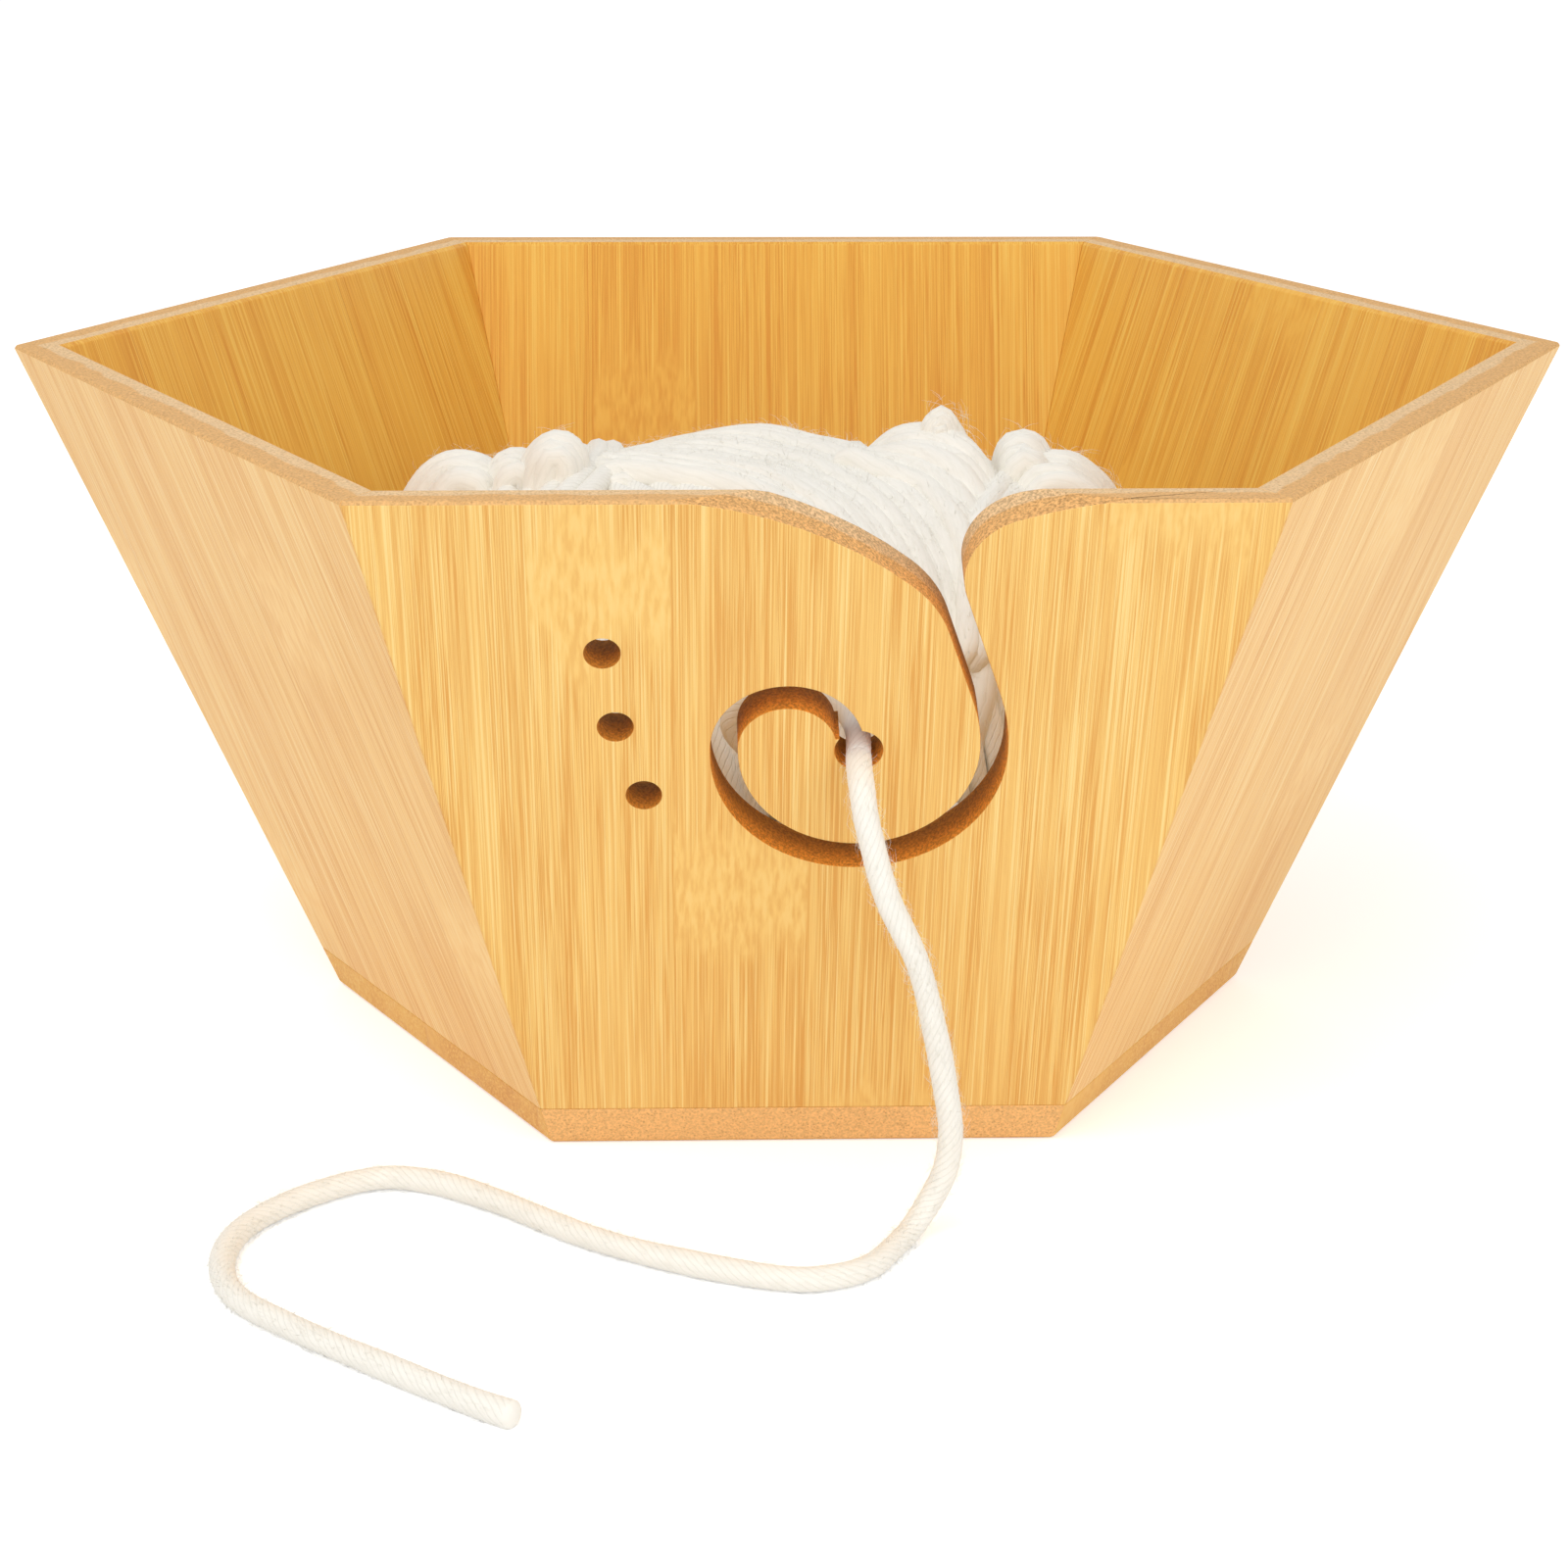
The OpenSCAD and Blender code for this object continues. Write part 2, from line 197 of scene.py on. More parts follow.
def catmull(route, steps):
    """Catmull-Rom curve: each span is a cubic whose end slopes are half the step between
    its neighbours, worked out at the given number of steps a span."""
    p = np.vstack([route[0], route, route[-1]])
    a, b, c, d = p[:-3, None], p[1:-2, None], p[2:-1, None], p[3:, None]
    u = (np.arange(steps) / steps)[None, :, None]
    curve = 0.5 * (2 * b + (c - a) * u + (2 * a - 5 * b + 4 * c - d) * u**2
                   + (3 * b - a - 3 * c + d) * u**3)
    return np.vstack([curve.reshape(-1, 3), route[-1:]])


def even_steps(path, step):
    """The same path with points a fixed distance apart, by length along it."""
    gaps = np.linalg.norm(np.diff(path, axis=0), axis=1)
    at = np.concatenate([[0], np.cumsum(gaps)])
    count = max(int(round(at[-1] / step)), 2)
    want = np.linspace(0, at[-1], count + 1)
    return np.stack([np.interp(want, at, path[:, axis]) for axis in range(3)], axis=1)


def unit(v):
    return v / np.maximum(np.linalg.norm(v, axis=-1, keepdims=True), 1e-12)


def carried_sides(path, first):
    """A side direction for each point of a path: the one before it, made square to the path
    again."""
    along = unit(np.gradient(path, axis=0))
    sides = np.empty_like(along)
    side = first
    for i, t in enumerate(along):
        side = side - t * (side @ t)
        side = side / np.linalg.norm(side)
        sides[i] = side
    return sides


def plied_tube(path, side, radius, sides, plies=0, twist=1.0, depth=0.0, swell=None):
    """Points, quads and UVs of a yarn along a path. At length s and angle a the surface lies at
    radius * swell * (1 - depth * (1 - |cos(plies * (a - turn * s / twist) / 2)| ^ 0.8)) from the
    path, so its threads run round it as rounded ridges. U goes once round and V is in metres."""
    along = unit(np.gradient(path, axis=0))
    up = np.cross(along, side)
    length = np.concatenate([[0], np.cumsum(np.linalg.norm(np.diff(path, axis=0), axis=1))])
    angle = np.arange(sides) / sides * TURN
    r = np.full((len(path), sides), radius)
    if plies:
        phase = plies * (angle[None] - TURN * length[:, None] / twist) / 2
        r = r * (1 - depth * (1 - np.abs(np.cos(phase)) ** 0.8))
    if swell is not None:
        r = r * swell[:, None]
    ring = np.cos(angle)[None, :, None] * side[:, None] + np.sin(angle)[None, :, None] * up[:, None]
    points = (path[:, None] + r[..., None] * ring).reshape(-1, 3)
    faces = grid_faces(len(path), sides)
    i, k = np.meshgrid(np.arange(len(path) - 1), np.arange(sides), indexing="ij")
    u0, u1 = k / sides, (k + 1) / sides
    v0, v1 = length[i], length[i + 1]
    uv = np.stack([np.stack([u0, v0], -1), np.stack([u1, v0], -1),
                   np.stack([u1, v1], -1), np.stack([u0, v1], -1)], axis=2).reshape(-1, 4, 2)
    return points, faces, uv


def joined(parts):
    """Several (points, faces, uv) sets as one."""
    start = np.cumsum([0] + [len(p[0]) for p in parts[:-1]])
    return (np.vstack([p[0] for p in parts]),
            np.vstack([p[1] + s for p, s in zip(parts, start)]),
            np.vstack([p[2] for p in parts]))


def closed_ends(points, faces, uv, sides, tip):
    """Rounds a tube's two ends off with shrinking rings, so that no end is open. The rings
    follow a quarter circle: at angle a a ring is cos(a) wide and stands sin(a) * tip out.
    Triangles from the last ring to the tip close the end."""
    k = np.arange(sides)
    n = (k + 1) % sides
    out, quads, maps = [points], [faces], [uv]
    base = len(points)
    # the first ring of each end, the ring next to it, and the way round for its faces
    ends = ((0, sides, 1), (base - sides, base - 2 * sides, -1))
    for start, inner, order in ends:
        ring = points[start:start + sides]
        middle = ring.mean(0)
        away = unit(middle - points[inner:inner + sides].mean(0))
        for a in (0.5, 1.0, 1.45):
            out.append(middle + (ring - middle) * math.cos(a) + away * tip * math.sin(a))
            quads.append(np.stack([start + n, start + k, base + k, base + n][::order], axis=1))
            start, base = base, base + sides
        out.append((middle + away * tip)[None])
        point = np.full(sides, base)
        quads.append(np.stack([*(start + n, start + k)[::order], point, point], axis=1))
        base += 1
        maps += [np.zeros((sides, 4, 2))] * 4
    return np.vstack(out), np.vstack(quads), np.vstack(maps)


class Nodes:
    """Adds nodes to a tree and joins them, so that a material reads top to bottom."""

    def __init__(self, tree):
        self.tree = tree

    def add(self, kind, values=None, **props):
        node = self.tree.nodes.new(kind)
        for name, value in props.items():
            setattr(node, name, value)
        for name, value in (values or {}).items():
            self.feed(node.inputs[name], value)
        return node

    def feed(self, socket, value):
        if isinstance(value, bpy.types.NodeSocket):
            self.tree.links.new(value, socket)
        else:
            socket.default_value = value

    def maths(self, operation, *values):
        node = self.add("ShaderNodeMath", dict(enumerate(values)), operation=operation)
        return node.outputs[0]

    def marked(self, name, output="Fac"):
        """What the piece's own attribute of this name says."""
        return self.add("ShaderNodeAttribute", attribute_name=name).outputs[output]

    def group(self, name, values):
        """One of the groups in GROUPS, made when it is first wanted, with its inputs' values."""
        tree = bpy.data.node_groups.get(name) or GROUPS[name](name)
        node = self.add("ShaderNodeGroup", node_tree=tree)
        for label, value in values.items():
            self.feed(node.inputs[label], value)
        return node

    def mix(self, factor, a, b, blend="MIX"):
        node = self.add("ShaderNodeMix", data_type="RGBA", blend_type=blend)
        self.feed(node.inputs[0], factor)
        self.feed(node.inputs[6], a)
        self.feed(node.inputs[7], b)
        return node.outputs[2]

    def span(self, value, low, high, to_low=0.0, to_high=1.0, smooth=False):
        kind = "SMOOTHSTEP" if smooth else "LINEAR"
        return self.add("ShaderNodeMapRange", {0: value, 1: low, 2: high, 3: to_low, 4: to_high},
                        interpolation_type=kind).outputs[0]

    def grey(self, value):
        return self.add("ShaderNodeCombineColor", {0: value, 1: value, 2: value}).outputs[0]

    def noise(self, vector, scale, detail=2.0, rough=0.5):
        return self.add("ShaderNodeTexNoise", {
            "Vector": vector, "Scale": scale, "Detail": detail, "Roughness": rough}).outputs[0]


def new_group(name, inputs, outputs):
    """An empty shader node group with named sockets, and its input and output nodes."""
    tree = bpy.data.node_groups.new(name, "ShaderNodeTree")
    for label, kind, default in inputs:
        socket = tree.interface.new_socket(label, in_out="INPUT", socket_type=kind)
        if default is not None:
            socket.default_value = default
    for label, kind in outputs:
        tree.interface.new_socket(label, in_out="OUTPUT", socket_type=kind)
    n = Nodes(tree)
    return tree, n, n.add("NodeGroupInput"), n.add("NodeGroupOutput")


def bamboo_group(name):
    """Grain of a board glued up from bamboo strips, from coordinates in millimetres: X across
    the strips, Y along them and Z through the board. Shade is -1 on the darkest fibre and 1 on
    the palest: each fibre is a thin line where a noise stretched along the strip crosses its
    middle. Streak is the fibres alone, for relief and gloss, and Seam marks the glue lines."""
    tree, n, given, out = new_group(
        name,
        [("Board", "NodeSocketVector", None), ("Strip Width", "NodeSocketFloat", 17.7),
         ("Seed", "NodeSocketFloat", 0.0), ("Fibres", "NodeSocketFloat", 1.0),
         ("Tones", "NodeSocketFloat", 1.0)],
        [("Shade", "NodeSocketFloat"), ("Streak", "NodeSocketFloat"),
         ("Seam", "NodeSocketFloat")])
    x, y, z = n.add("ShaderNodeSeparateXYZ", {0: given.outputs["Board"]}).outputs
    seed = given.outputs["Seed"]
    across = n.maths("ADD", n.maths("DIVIDE", x, given.outputs["Strip Width"]), seed)
    strip = n.maths("FLOOR", across)
    within = n.maths("FRACT", across)
    tone = n.add("ShaderNodeTexWhiteNoise", {1: strip}, noise_dimensions="1D").outputs[0]
    # each strip's pattern starts at its own height, somewhere in 900 mm of stem
    shift = n.maths("FRACT", n.maths("MULTIPLY_ADD", strip, 0.31, 0.2122))
    run = n.maths("ADD", y, n.maths("MULTIPLY", shift, 900.0))
    depth = n.maths("ADD", z, n.maths("MULTIPLY", seed, 17.0))

    def fibres(per_mm, along):
        """Noise with this many spots in a millimetre across and along the strip."""
        place = n.add("ShaderNodeCombineXYZ", {
            0: n.maths("MULTIPLY", x, per_mm), 1: n.maths("MULTIPLY", run, along),
            2: n.maths("MULTIPLY", depth, per_mm * 0.35)}).outputs[0]
        return n.noise(place, 1.0)

    def crossing(value, half):
        """1 where a noise is at its middle, 0 from half away from it on."""
        from_middle = n.maths("ABSOLUTE", n.maths("SUBTRACT", value, 0.5))
        return n.span(from_middle, 0.0, half, 1.0, 0.0, smooth=True)

    broad = fibres(0.21, 0.006)
    dense = n.span(fibres(0.33, 0.012), 0.35, 0.62)
    coarse = crossing(fibres(2.0, 0.012), 0.06)
    fine = crossing(fibres(4.6, 0.026), 0.09)
    pale = n.span(fibres(3.8, 0.018), 0.50, 0.66, smooth=True)
    dark = n.maths("MAXIMUM", coarse, n.maths("MULTIPLY", fine, 0.8))
    dark = n.maths("MULTIPLY", dark, n.span(dense, 0.0, 1.0, 0.45, 1.0))
    # a knuckle comes once in 230 mm of stem, about 16 mm long, with short dashes for fibres
    stem = n.maths("FRACT", n.maths("DIVIDE", run, 230.0))
    from_joint = n.maths("ABSOLUTE", n.maths("SUBTRACT", stem, 0.5))
    patchy = n.maths("SUBTRACT", broad, 0.5)
    ragged = n.maths("ADD", from_joint, n.maths("MULTIPLY", patchy, 0.12))
    knuckle = n.span(ragged, 0.02, 0.06, 1.0, 0.0, smooth=True)
    dashes = n.maths("SUBTRACT", n.span(fibres(1.5, 0.26), 0.36, 0.64), 0.5)
    plain = n.maths("SUBTRACT", pale, n.maths("MULTIPLY", dark, 1.15))
    streak = n.maths("ADD", n.maths("MULTIPLY", plain, n.maths("SUBTRACT", 1.0, knuckle)),
                     n.maths("MULTIPLY", n.maths("MULTIPLY", dashes, 0.65), knuckle))
    edge = n.maths("MINIMUM", within, n.maths("SUBTRACT", 1.0, within))
    seam = n.span(edge, 0.004, 0.02, 1.0, 0.0, smooth=True)
    slow = n.maths("ADD", n.maths("MULTIPLY", n.maths("SUBTRACT", tone, 0.5), 0.5),
                   n.maths("MULTIPLY", patchy, 1.1))
    shade = n.maths("ADD", n.maths("MULTIPLY", streak, given.outputs["Fibres"]),
                    n.maths("MULTIPLY", slow, given.outputs["Tones"]))
    shade = n.maths("SUBTRACT", shade, n.maths("MULTIPLY", seam, 0.3))
    n.feed(out.inputs["Shade"], shade)
    n.feed(out.inputs["Streak"], n.span(streak, -1.0, 1.0))
    n.feed(out.inputs["Seam"], seam)
    return tree


def end_grain_group(name):
    """Cut ends of bamboo, from coordinates in millimetres. Pores are the round cells of a
    Voronoi pattern, for the dark bundles in the stem. Outer is 1 in the browner layer past a
    wavy line at the height Split, Cloud is a broad mottling and Fleck a fine one."""
    tree, n, given, out = new_group(
        name,
        [("Board", "NodeSocketVector", None), ("Pores Per mm", "NodeSocketFloat", 2.1),
         ("Split", "NodeSocketFloat", -3.0)],
        [("Pores", "NodeSocketFloat"), ("Outer", "NodeSocketFloat"), ("Cloud", "NodeSocketFloat"),
         ("Fleck", "NodeSocketFloat")])
    place = given.outputs["Board"]
    wavy = n.maths("SUBTRACT", n.noise(place, 0.12), 0.5)
    z = n.add("ShaderNodeSeparateXYZ", {0: place}).outputs[2]
    layer = n.maths("ADD", z, n.maths("MULTIPLY", wavy, 2.4))
    outer = n.span(n.maths("SUBTRACT", layer, given.outputs["Split"]), -0.25, 0.25, smooth=True)
    cells = n.add("ShaderNodeTexVoronoi", {
        "Vector": place, "Scale": given.outputs["Pores Per mm"], "Randomness": 0.85})
    pores = n.span(cells.outputs["Distance"], 0.16, 0.42, 1.0, 0.0, smooth=True)
    n.feed(out.inputs["Pores"], pores)
    n.feed(out.inputs["Outer"], outer)
    n.feed(out.inputs["Cloud"], n.noise(place, 0.35, 3.0, 0.6))
    n.feed(out.inputs["Fleck"], n.noise(place, 2.6, 2.0, 0.6))
    return tree


def plied_group(name):
    """Threads of a plied yarn, from its UV: U once round, V metres along. Groove is 1 in the
    hollow between threads, where the yarn's material paints shade, Fibre the fine hairs that lie
    along each thread."""
    tree, n, given, out = new_group(
        name,
        [("UV", "NodeSocketVector", None), ("Plies", "NodeSocketFloat", 8.0),
         ("Turns Per Metre", "NodeSocketFloat", 77.0)],
        [("Groove", "NodeSocketFloat"), ("Fibre", "NodeSocketFloat"),
         ("Patch", "NodeSocketFloat")])
    at = n.add("ShaderNodeSeparateXYZ", {0: given.outputs["UV"]})
    u, v = at.outputs[0], at.outputs[1]
    turned = n.maths("SUBTRACT", u, n.maths("MULTIPLY", v, given.outputs["Turns Per Metre"]))
    place = n.add("ShaderNodeTexCoord").outputs["Object"]
    # hand-spun unevenness: the threads wander sideways by up to half their width
    wander = n.maths("MULTIPLY", n.maths("SUBTRACT", n.noise(place, 300.0), 0.5), 0.9)
    phase = n.maths("ADD", n.maths("MULTIPLY", turned, given.outputs["Plies"]), wander)
    ridge = n.maths("ABSOLUTE", n.maths("COSINE", n.maths("MULTIPLY", phase, math.pi)))
    along = n.add("ShaderNodeCombineXYZ", {
        0: n.maths("MULTIPLY", phase, 5.0), 1: n.maths("MULTIPLY", v, 260.0)}).outputs[0]
    n.feed(out.inputs["Groove"], n.span(ridge, 0.0, 0.55, 1.0, 0.0, smooth=True))
    n.feed(out.inputs["Fibre"], n.noise(along, 1.0, 3.0, 0.7))
    n.feed(out.inputs["Patch"], n.noise(place, 160.0))
    return tree


GROUPS = {"Bamboo Grain": bamboo_group, "Bamboo End Grain": end_grain_group,
          "Plied Yarn": plied_group}


def new_material(name):
    material = bpy.data.materials.new(name)
    material.use_nodes = True
    tree = material.node_tree
    tree.nodes.clear()
    n = Nodes(tree)
    shader = n.add("ShaderNodeBsdfPrincipled")
    out = n.add("ShaderNodeOutputMaterial")
    tree.links.new(shader.outputs[0], out.inputs[0])
    return material, n, shader


def scaled(colour, share, tint=(1.0, 1.0, 1.0)):
    """A colour with its brightness and its three parts multiplied, as a shader colour."""
    return (*(min(c * t * share, 1.0) for c, t in zip(colour, tint)), 1.0)


def bamboo_material(name, colour, settings, seed, fibres, tones, end=1.0):
    """Oiled bamboo. The attribute board gives a point's place on its board, end_grain marks the
    faces that cut across the strips, and cut_wall those of the slot and the holes, which are
    browner the deeper they lie, partly as the saw's scorch and partly as painted shade.
    Elsewhere the long grain shows."""
    material, n, shader = new_material(name)
    mm = n.add("ShaderNodeVectorMath", {0: n.marked("board", "Vector"), 1: (1 / MM,) * 3},
               operation="MULTIPLY").outputs["Vector"]
    wood = n.group("Bamboo Grain", {
        "Board": mm, "Strip Width": settings.strip_width / MM, "Seed": seed, "Fibres": fibres,
        "Tones": tones})
    shade = wood.outputs["Shade"]
    darkest = scaled(colour, 1.0, (0.84, 0.66, 0.50))
    palest = scaled(colour, 1.0, (1.05, 1.20, 1.55))
    below = n.mix(n.span(shade, -1.0, 0.0, 1.0, 0.0), scaled(colour, 1.0), darkest)
    long_grain = n.mix(n.span(shade, 0.0, 1.0), below, palest)

    ends = n.group("Bamboo End Grain", {"Board": mm})
    rim = tuple(c * end for c in settings.end_colour)
    greyer = scaled(rim, 1.08, (1.0, 1.1, 1.25))
    browner = scaled(rim, 0.95, (1.0, 0.86, 0.62))
    pore = scaled(rim, 0.8, (0.70, 0.52, 0.33))
    paler = n.mix(ends.outputs["Cloud"], scaled(rim, 1.0), greyer)
    layered = n.mix(n.maths("MULTIPLY", ends.outputs["Outer"], 0.85), paler, browner)
    flecks = n.span(ends.outputs["Cloud"], 0.35, 0.65, 0.25, 0.60)
    pored = n.mix(n.maths("MULTIPLY", ends.outputs["Pores"], flecks), layered, pore)
    fleck = n.grey(n.span(ends.outputs["Fleck"], 0.38, 0.62, 0.86, 1.08))
    pored = n.mix(1.0, pored, fleck, "MULTIPLY")

    cut = n.marked("cut_wall")
    wall = tuple(settings.cut_colour)
    _, height, inward = n.add("ShaderNodeSeparateXYZ", {0: mm}).outputs
    # the cut walls are darkest at the board's inside and fade towards the end grain's colour near
    # the rim, partly as the saw's scorch and partly as painted shade deep in the slot; the round
    # holes are darker all through, as painted shade
    burn_and_shade = n.mix(n.span(inward, -5.0, -0.6, smooth=True), scaled(wall, 0.62), scaled(wall, 1.3))
    near_rim = n.span(height, -26.0, -3.0, smooth=True)
    burn_and_shade = n.mix(n.maths("MULTIPLY", near_rim, 0.85), burn_and_shade, layered)
    grainy = n.span(ends.outputs["Fleck"], 0.38, 0.62, 0.72, 1.2)
    # painted shade: the round holes' walls are painted 20% darker all through
    hole = n.span(cut, HOLE_MARK, 1.0, 0.8, 1.0)
    burn_and_shade = n.mix(1.0, burn_and_shade, n.grey(n.maths("MULTIPLY", grainy, hole)), "MULTIPLY")
    wall_pores = n.mix(n.maths("MULTIPLY", ends.outputs["Pores"], 0.35), burn_and_shade, scaled(wall, 0.4))
    cut = n.span(cut, 0.0, HOLE_MARK - 0.1)
    end_mask = n.marked("end_grain")
    ended = n.mix(end_mask, long_grain, pored)
    n.feed(shader.inputs["Base Color"], n.mix(cut, ended, wall_pores))

    mask = n.maths("MAXIMUM", end_mask, cut)
    satin = n.span(wood.outputs["Streak"], 0.0, 1.0, 0.52, 0.40)
    n.feed(shader.inputs["Roughness"], n.maths("ADD", satin, n.maths("MULTIPLY", mask, 0.25)))
    grooves = n.maths("SUBTRACT", wood.outputs["Streak"], wood.outputs["Seam"])
    pits = n.maths("SUBTRACT", 1.0, ends.outputs["Pores"])
    relief = n.maths("ADD", n.maths("MULTIPLY", grooves, n.maths("SUBTRACT", 1.0, mask)),
                     n.maths("MULTIPLY", pits, mask))
    bump = n.add("ShaderNodeBump", {"Strength": 0.35, "Distance": 0.00012, "Height": relief})
    n.feed(shader.inputs["Normal"], bump.outputs[0])
    n.feed(shader.inputs["Coat Weight"], n.span(mask, 0.0, 1.0, 0.10, 0.0))
    shader.inputs["Specular IOR Level"].default_value = 0.25
    shader.inputs["Coat Roughness"].default_value = 0.35
    return material


def yarn_material(name, settings, shade=1.0, plies=None, twist=None, groove=0.36):
    """Soft white plied yarn: threads as ridges, each with fine lengthwise fibres. The grooves
    between threads and the gaps between fibres are painted darker, as painted shade, and shade
    scales the whole colour.
    """
    material, n, shader = new_material(name)
    ply = n.group("Plied Yarn", {
        "UV": n.add("ShaderNodeUVMap", uv_map="yarn").outputs[0],
        "Plies": float(plies or settings.plies),
        "Turns Per Metre": 1.0 / (twist or settings.twist)})
    colour = tuple(settings.colour)
    light = n.mix(ply.outputs["Patch"], scaled(colour, shade * 0.98), scaled(colour, shade * 1.05))
    # painted shade: the grooves between threads and the gaps between fibres are darkened towards
    # this colour
    groove_shade = scaled(colour, shade, (0.82, 0.82, 0.78))
    threads = n.mix(n.maths("MULTIPLY", ply.outputs["Groove"], groove), light, groove_shade)
    hairy = n.mix(n.span(ply.outputs["Fibre"], 0.3, 0.7, 0.25, 0.0), threads, groove_shade)
    n.feed(shader.inputs["Base Color"], hairy)
    n.feed(shader.inputs["Roughness"], n.span(ply.outputs["Fibre"], 0.3, 0.7, 0.95, 0.82))
    height = n.maths("ADD", n.maths("MULTIPLY", ply.outputs["Groove"], -1.0),
                     n.maths("MULTIPLY", ply.outputs["Fibre"], 0.5))
    bump = n.add("ShaderNodeBump", {"Strength": groove * 1.25, "Distance": 0.00020,
                                    "Height": height})
    n.feed(shader.inputs["Normal"], bump.outputs[0])
    shader.inputs["Sheen Weight"].default_value = 0.25
    shader.inputs["Sheen Roughness"].default_value = 0.6
    shader.inputs["Specular IOR Level"].default_value = 0.2
    return material


def fibre_material(name, settings):
    """White of the stray fibres, a little uneven."""
    material, n, shader = new_material(name)
    place = n.add("ShaderNodeTexCoord").outputs["Object"]
    colour = tuple(settings.colour)
    uneven = n.mix(n.noise(place, 900.0), scaled(colour, 0.95), scaled(colour, 1.1))
    n.feed(shader.inputs["Base Color"], uneven)
    shader.inputs["Roughness"].default_value = 0.9
    shader.inputs["Specular IOR Level"].default_value = 0.1
    return material


def board_axes(turn):
    """The across, along and outward directions of the board that is turned by this angle from
    the front one, and the middle of its rim. The outer face leans out from the base plate's edge
    to the rim, so its slope is found from the boxes of the front board and the base plate."""
    low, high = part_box("front_panel")
    foot_low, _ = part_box("base_plate")
    slope = math.atan2(abs(low[1]) - abs(foot_low[1]), high[2] - low[2])
    across = np.array([1.0, 0.0, 0.0])
    along = np.array([0.0, -math.sin(slope), math.cos(slope)])
    outward = np.array([0.0, -math.cos(slope), -math.sin(slope)])
    c, s = math.cos(turn), math.sin(turn)
    spin = np.array([[c, -s, 0], [s, c, 0], [0, 0, 1]])
    rim = np.array([0.0, low[1], high[2]])
    return [spin @ v for v in (across, along, outward, rim)]


def triples(items, name):
    """A value of three numbers that each vertex or face has, as an array (n, 3)."""
    values = np.empty(len(items) * 3)
    items.foreach_get(name, values)
    return values.reshape(-1, 3)


def mark_faces(mesh, name, values):
    """Writes one number for each face into an attribute of this name."""
    mesh.attributes.new(name, "FLOAT", "FACE").data.foreach_set(
        "value", values.astype(np.float32))


def dress_board(node, material, axes, ease):
    """A copy of a packed board with its flats joined and its arrises eased. Its attribute board
    gives each point in metres across, along and through the board from the axes' origin,
    end_grain marks faces that look along the strips, and cut_wall walls square to the board."""
    across, along, outward, origin = axes
    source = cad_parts[node]
    mesh = source.data.copy()
    mesh.name = node + "_bamboo"
    mesh.materials.clear()
    mesh.materials.append(material)
    bm = bmesh.new()
    bm.from_mesh(mesh)
    bmesh.ops.remove_doubles(bm, verts=bm.verts, dist=2e-6)
    bmesh.ops.dissolve_limit(bm, angle_limit=math.radians(0.3), verts=bm.verts, edges=bm.edges)
    for edge in bm.edges:
        edge.smooth = not edge.is_manifold or edge.calc_face_angle() < math.radians(20)
    for face in bm.faces:
        face.smooth = True
    bm.to_mesh(mesh)
    bm.free()
    away = triples(mesh.vertices, "co") - origin
    board = np.stack([away @ across, away @ along, away @ outward], axis=1)
    mesh.attributes.new("board", "FLOAT_VECTOR", "POINT").data.foreach_set(
        "vector", board.astype(np.float32).ravel())
    normals = triples(mesh.polygons, "normal")
    mark_faces(mesh, "end_grain", np.abs(normals @ along) > 0.6)
    # only a wall cut square through the board has a normal that lies in the board's plane
    square_on = np.abs(normals @ outward) < 0.02
    # the round holes lie left of the slot and below the rim
    middles = triples(mesh.polygons, "center") - origin
    in_hole = (middles @ across < -18 * MM) & (middles @ along < -12 * MM)
    mark = np.where(in_hole, HOLE_MARK, 1.0) * square_on * (node == "front_panel")
    mark_faces(mesh, "cut_wall", mark)
    piece = bpy.data.objects.new(mesh.name, mesh)
    bpy.context.scene.collection.objects.link(piece)
    bevel = piece.modifiers.new("Eased arris", "BEVEL")
    bevel.width = ease
    bevel.segments = 2
    bevel.limit_method = "ANGLE"
    bevel.angle_limit = math.radians(25)
    bevel.use_clamp_overlap = False
    bevel.harden_normals = True
    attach(piece, "bowl")
    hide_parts(node)
    return piece


class YARNBOWL_OT_boards(bpy.types.Operator):
    """Dress the six side boards and the base plate in bamboo"""
    bl_idname = "yarn_bowl.boards"
    bl_label = "Bamboo Boards"

    def execute(self, context):
        settings = context.scene.yarn_bowl_boards
        for i, (node, colour, seed, fibres, tones) in enumerate(BOARDS):
            material = bamboo_material(f"Bamboo {node}", tuple(getattr(settings, colour)),
                                       settings, seed, fibres, tones)
            axes = board_axes(i * TURN / len(BOARDS))
            piece = dress_board(node, material, axes, settings.ease)
        # the base plate's strips run from front to back, so its front edge is end grain
        flat = np.array([[1.0, 0, 0], [0, 1.0, 0], [0, 0, 1.0], [0, 0, 3 * MM]])
        material = bamboo_material("Bamboo base_plate", tuple(settings.back_colour), settings,
                                   seed=23.1, fibres=0.8, tones=0.8, end=1.2)
        piece = dress_board("base_plate", material, flat, settings.ease)
        return {"FINISHED"}


def on_ball(direction, wide, high, squash=3.0):
    """Where a ray from the ball's middle meets a squashed ball: the distance makes
    (r / wide)^squash + (|z| / high)^squash come to 1."""
    flat = np.linalg.norm(direction[:, :2], axis=1) / wide
    tall = np.abs(direction[:, 2]) / high
    return direction / ((flat**squash + tall**squash) ** (1 / squash))[:, None]


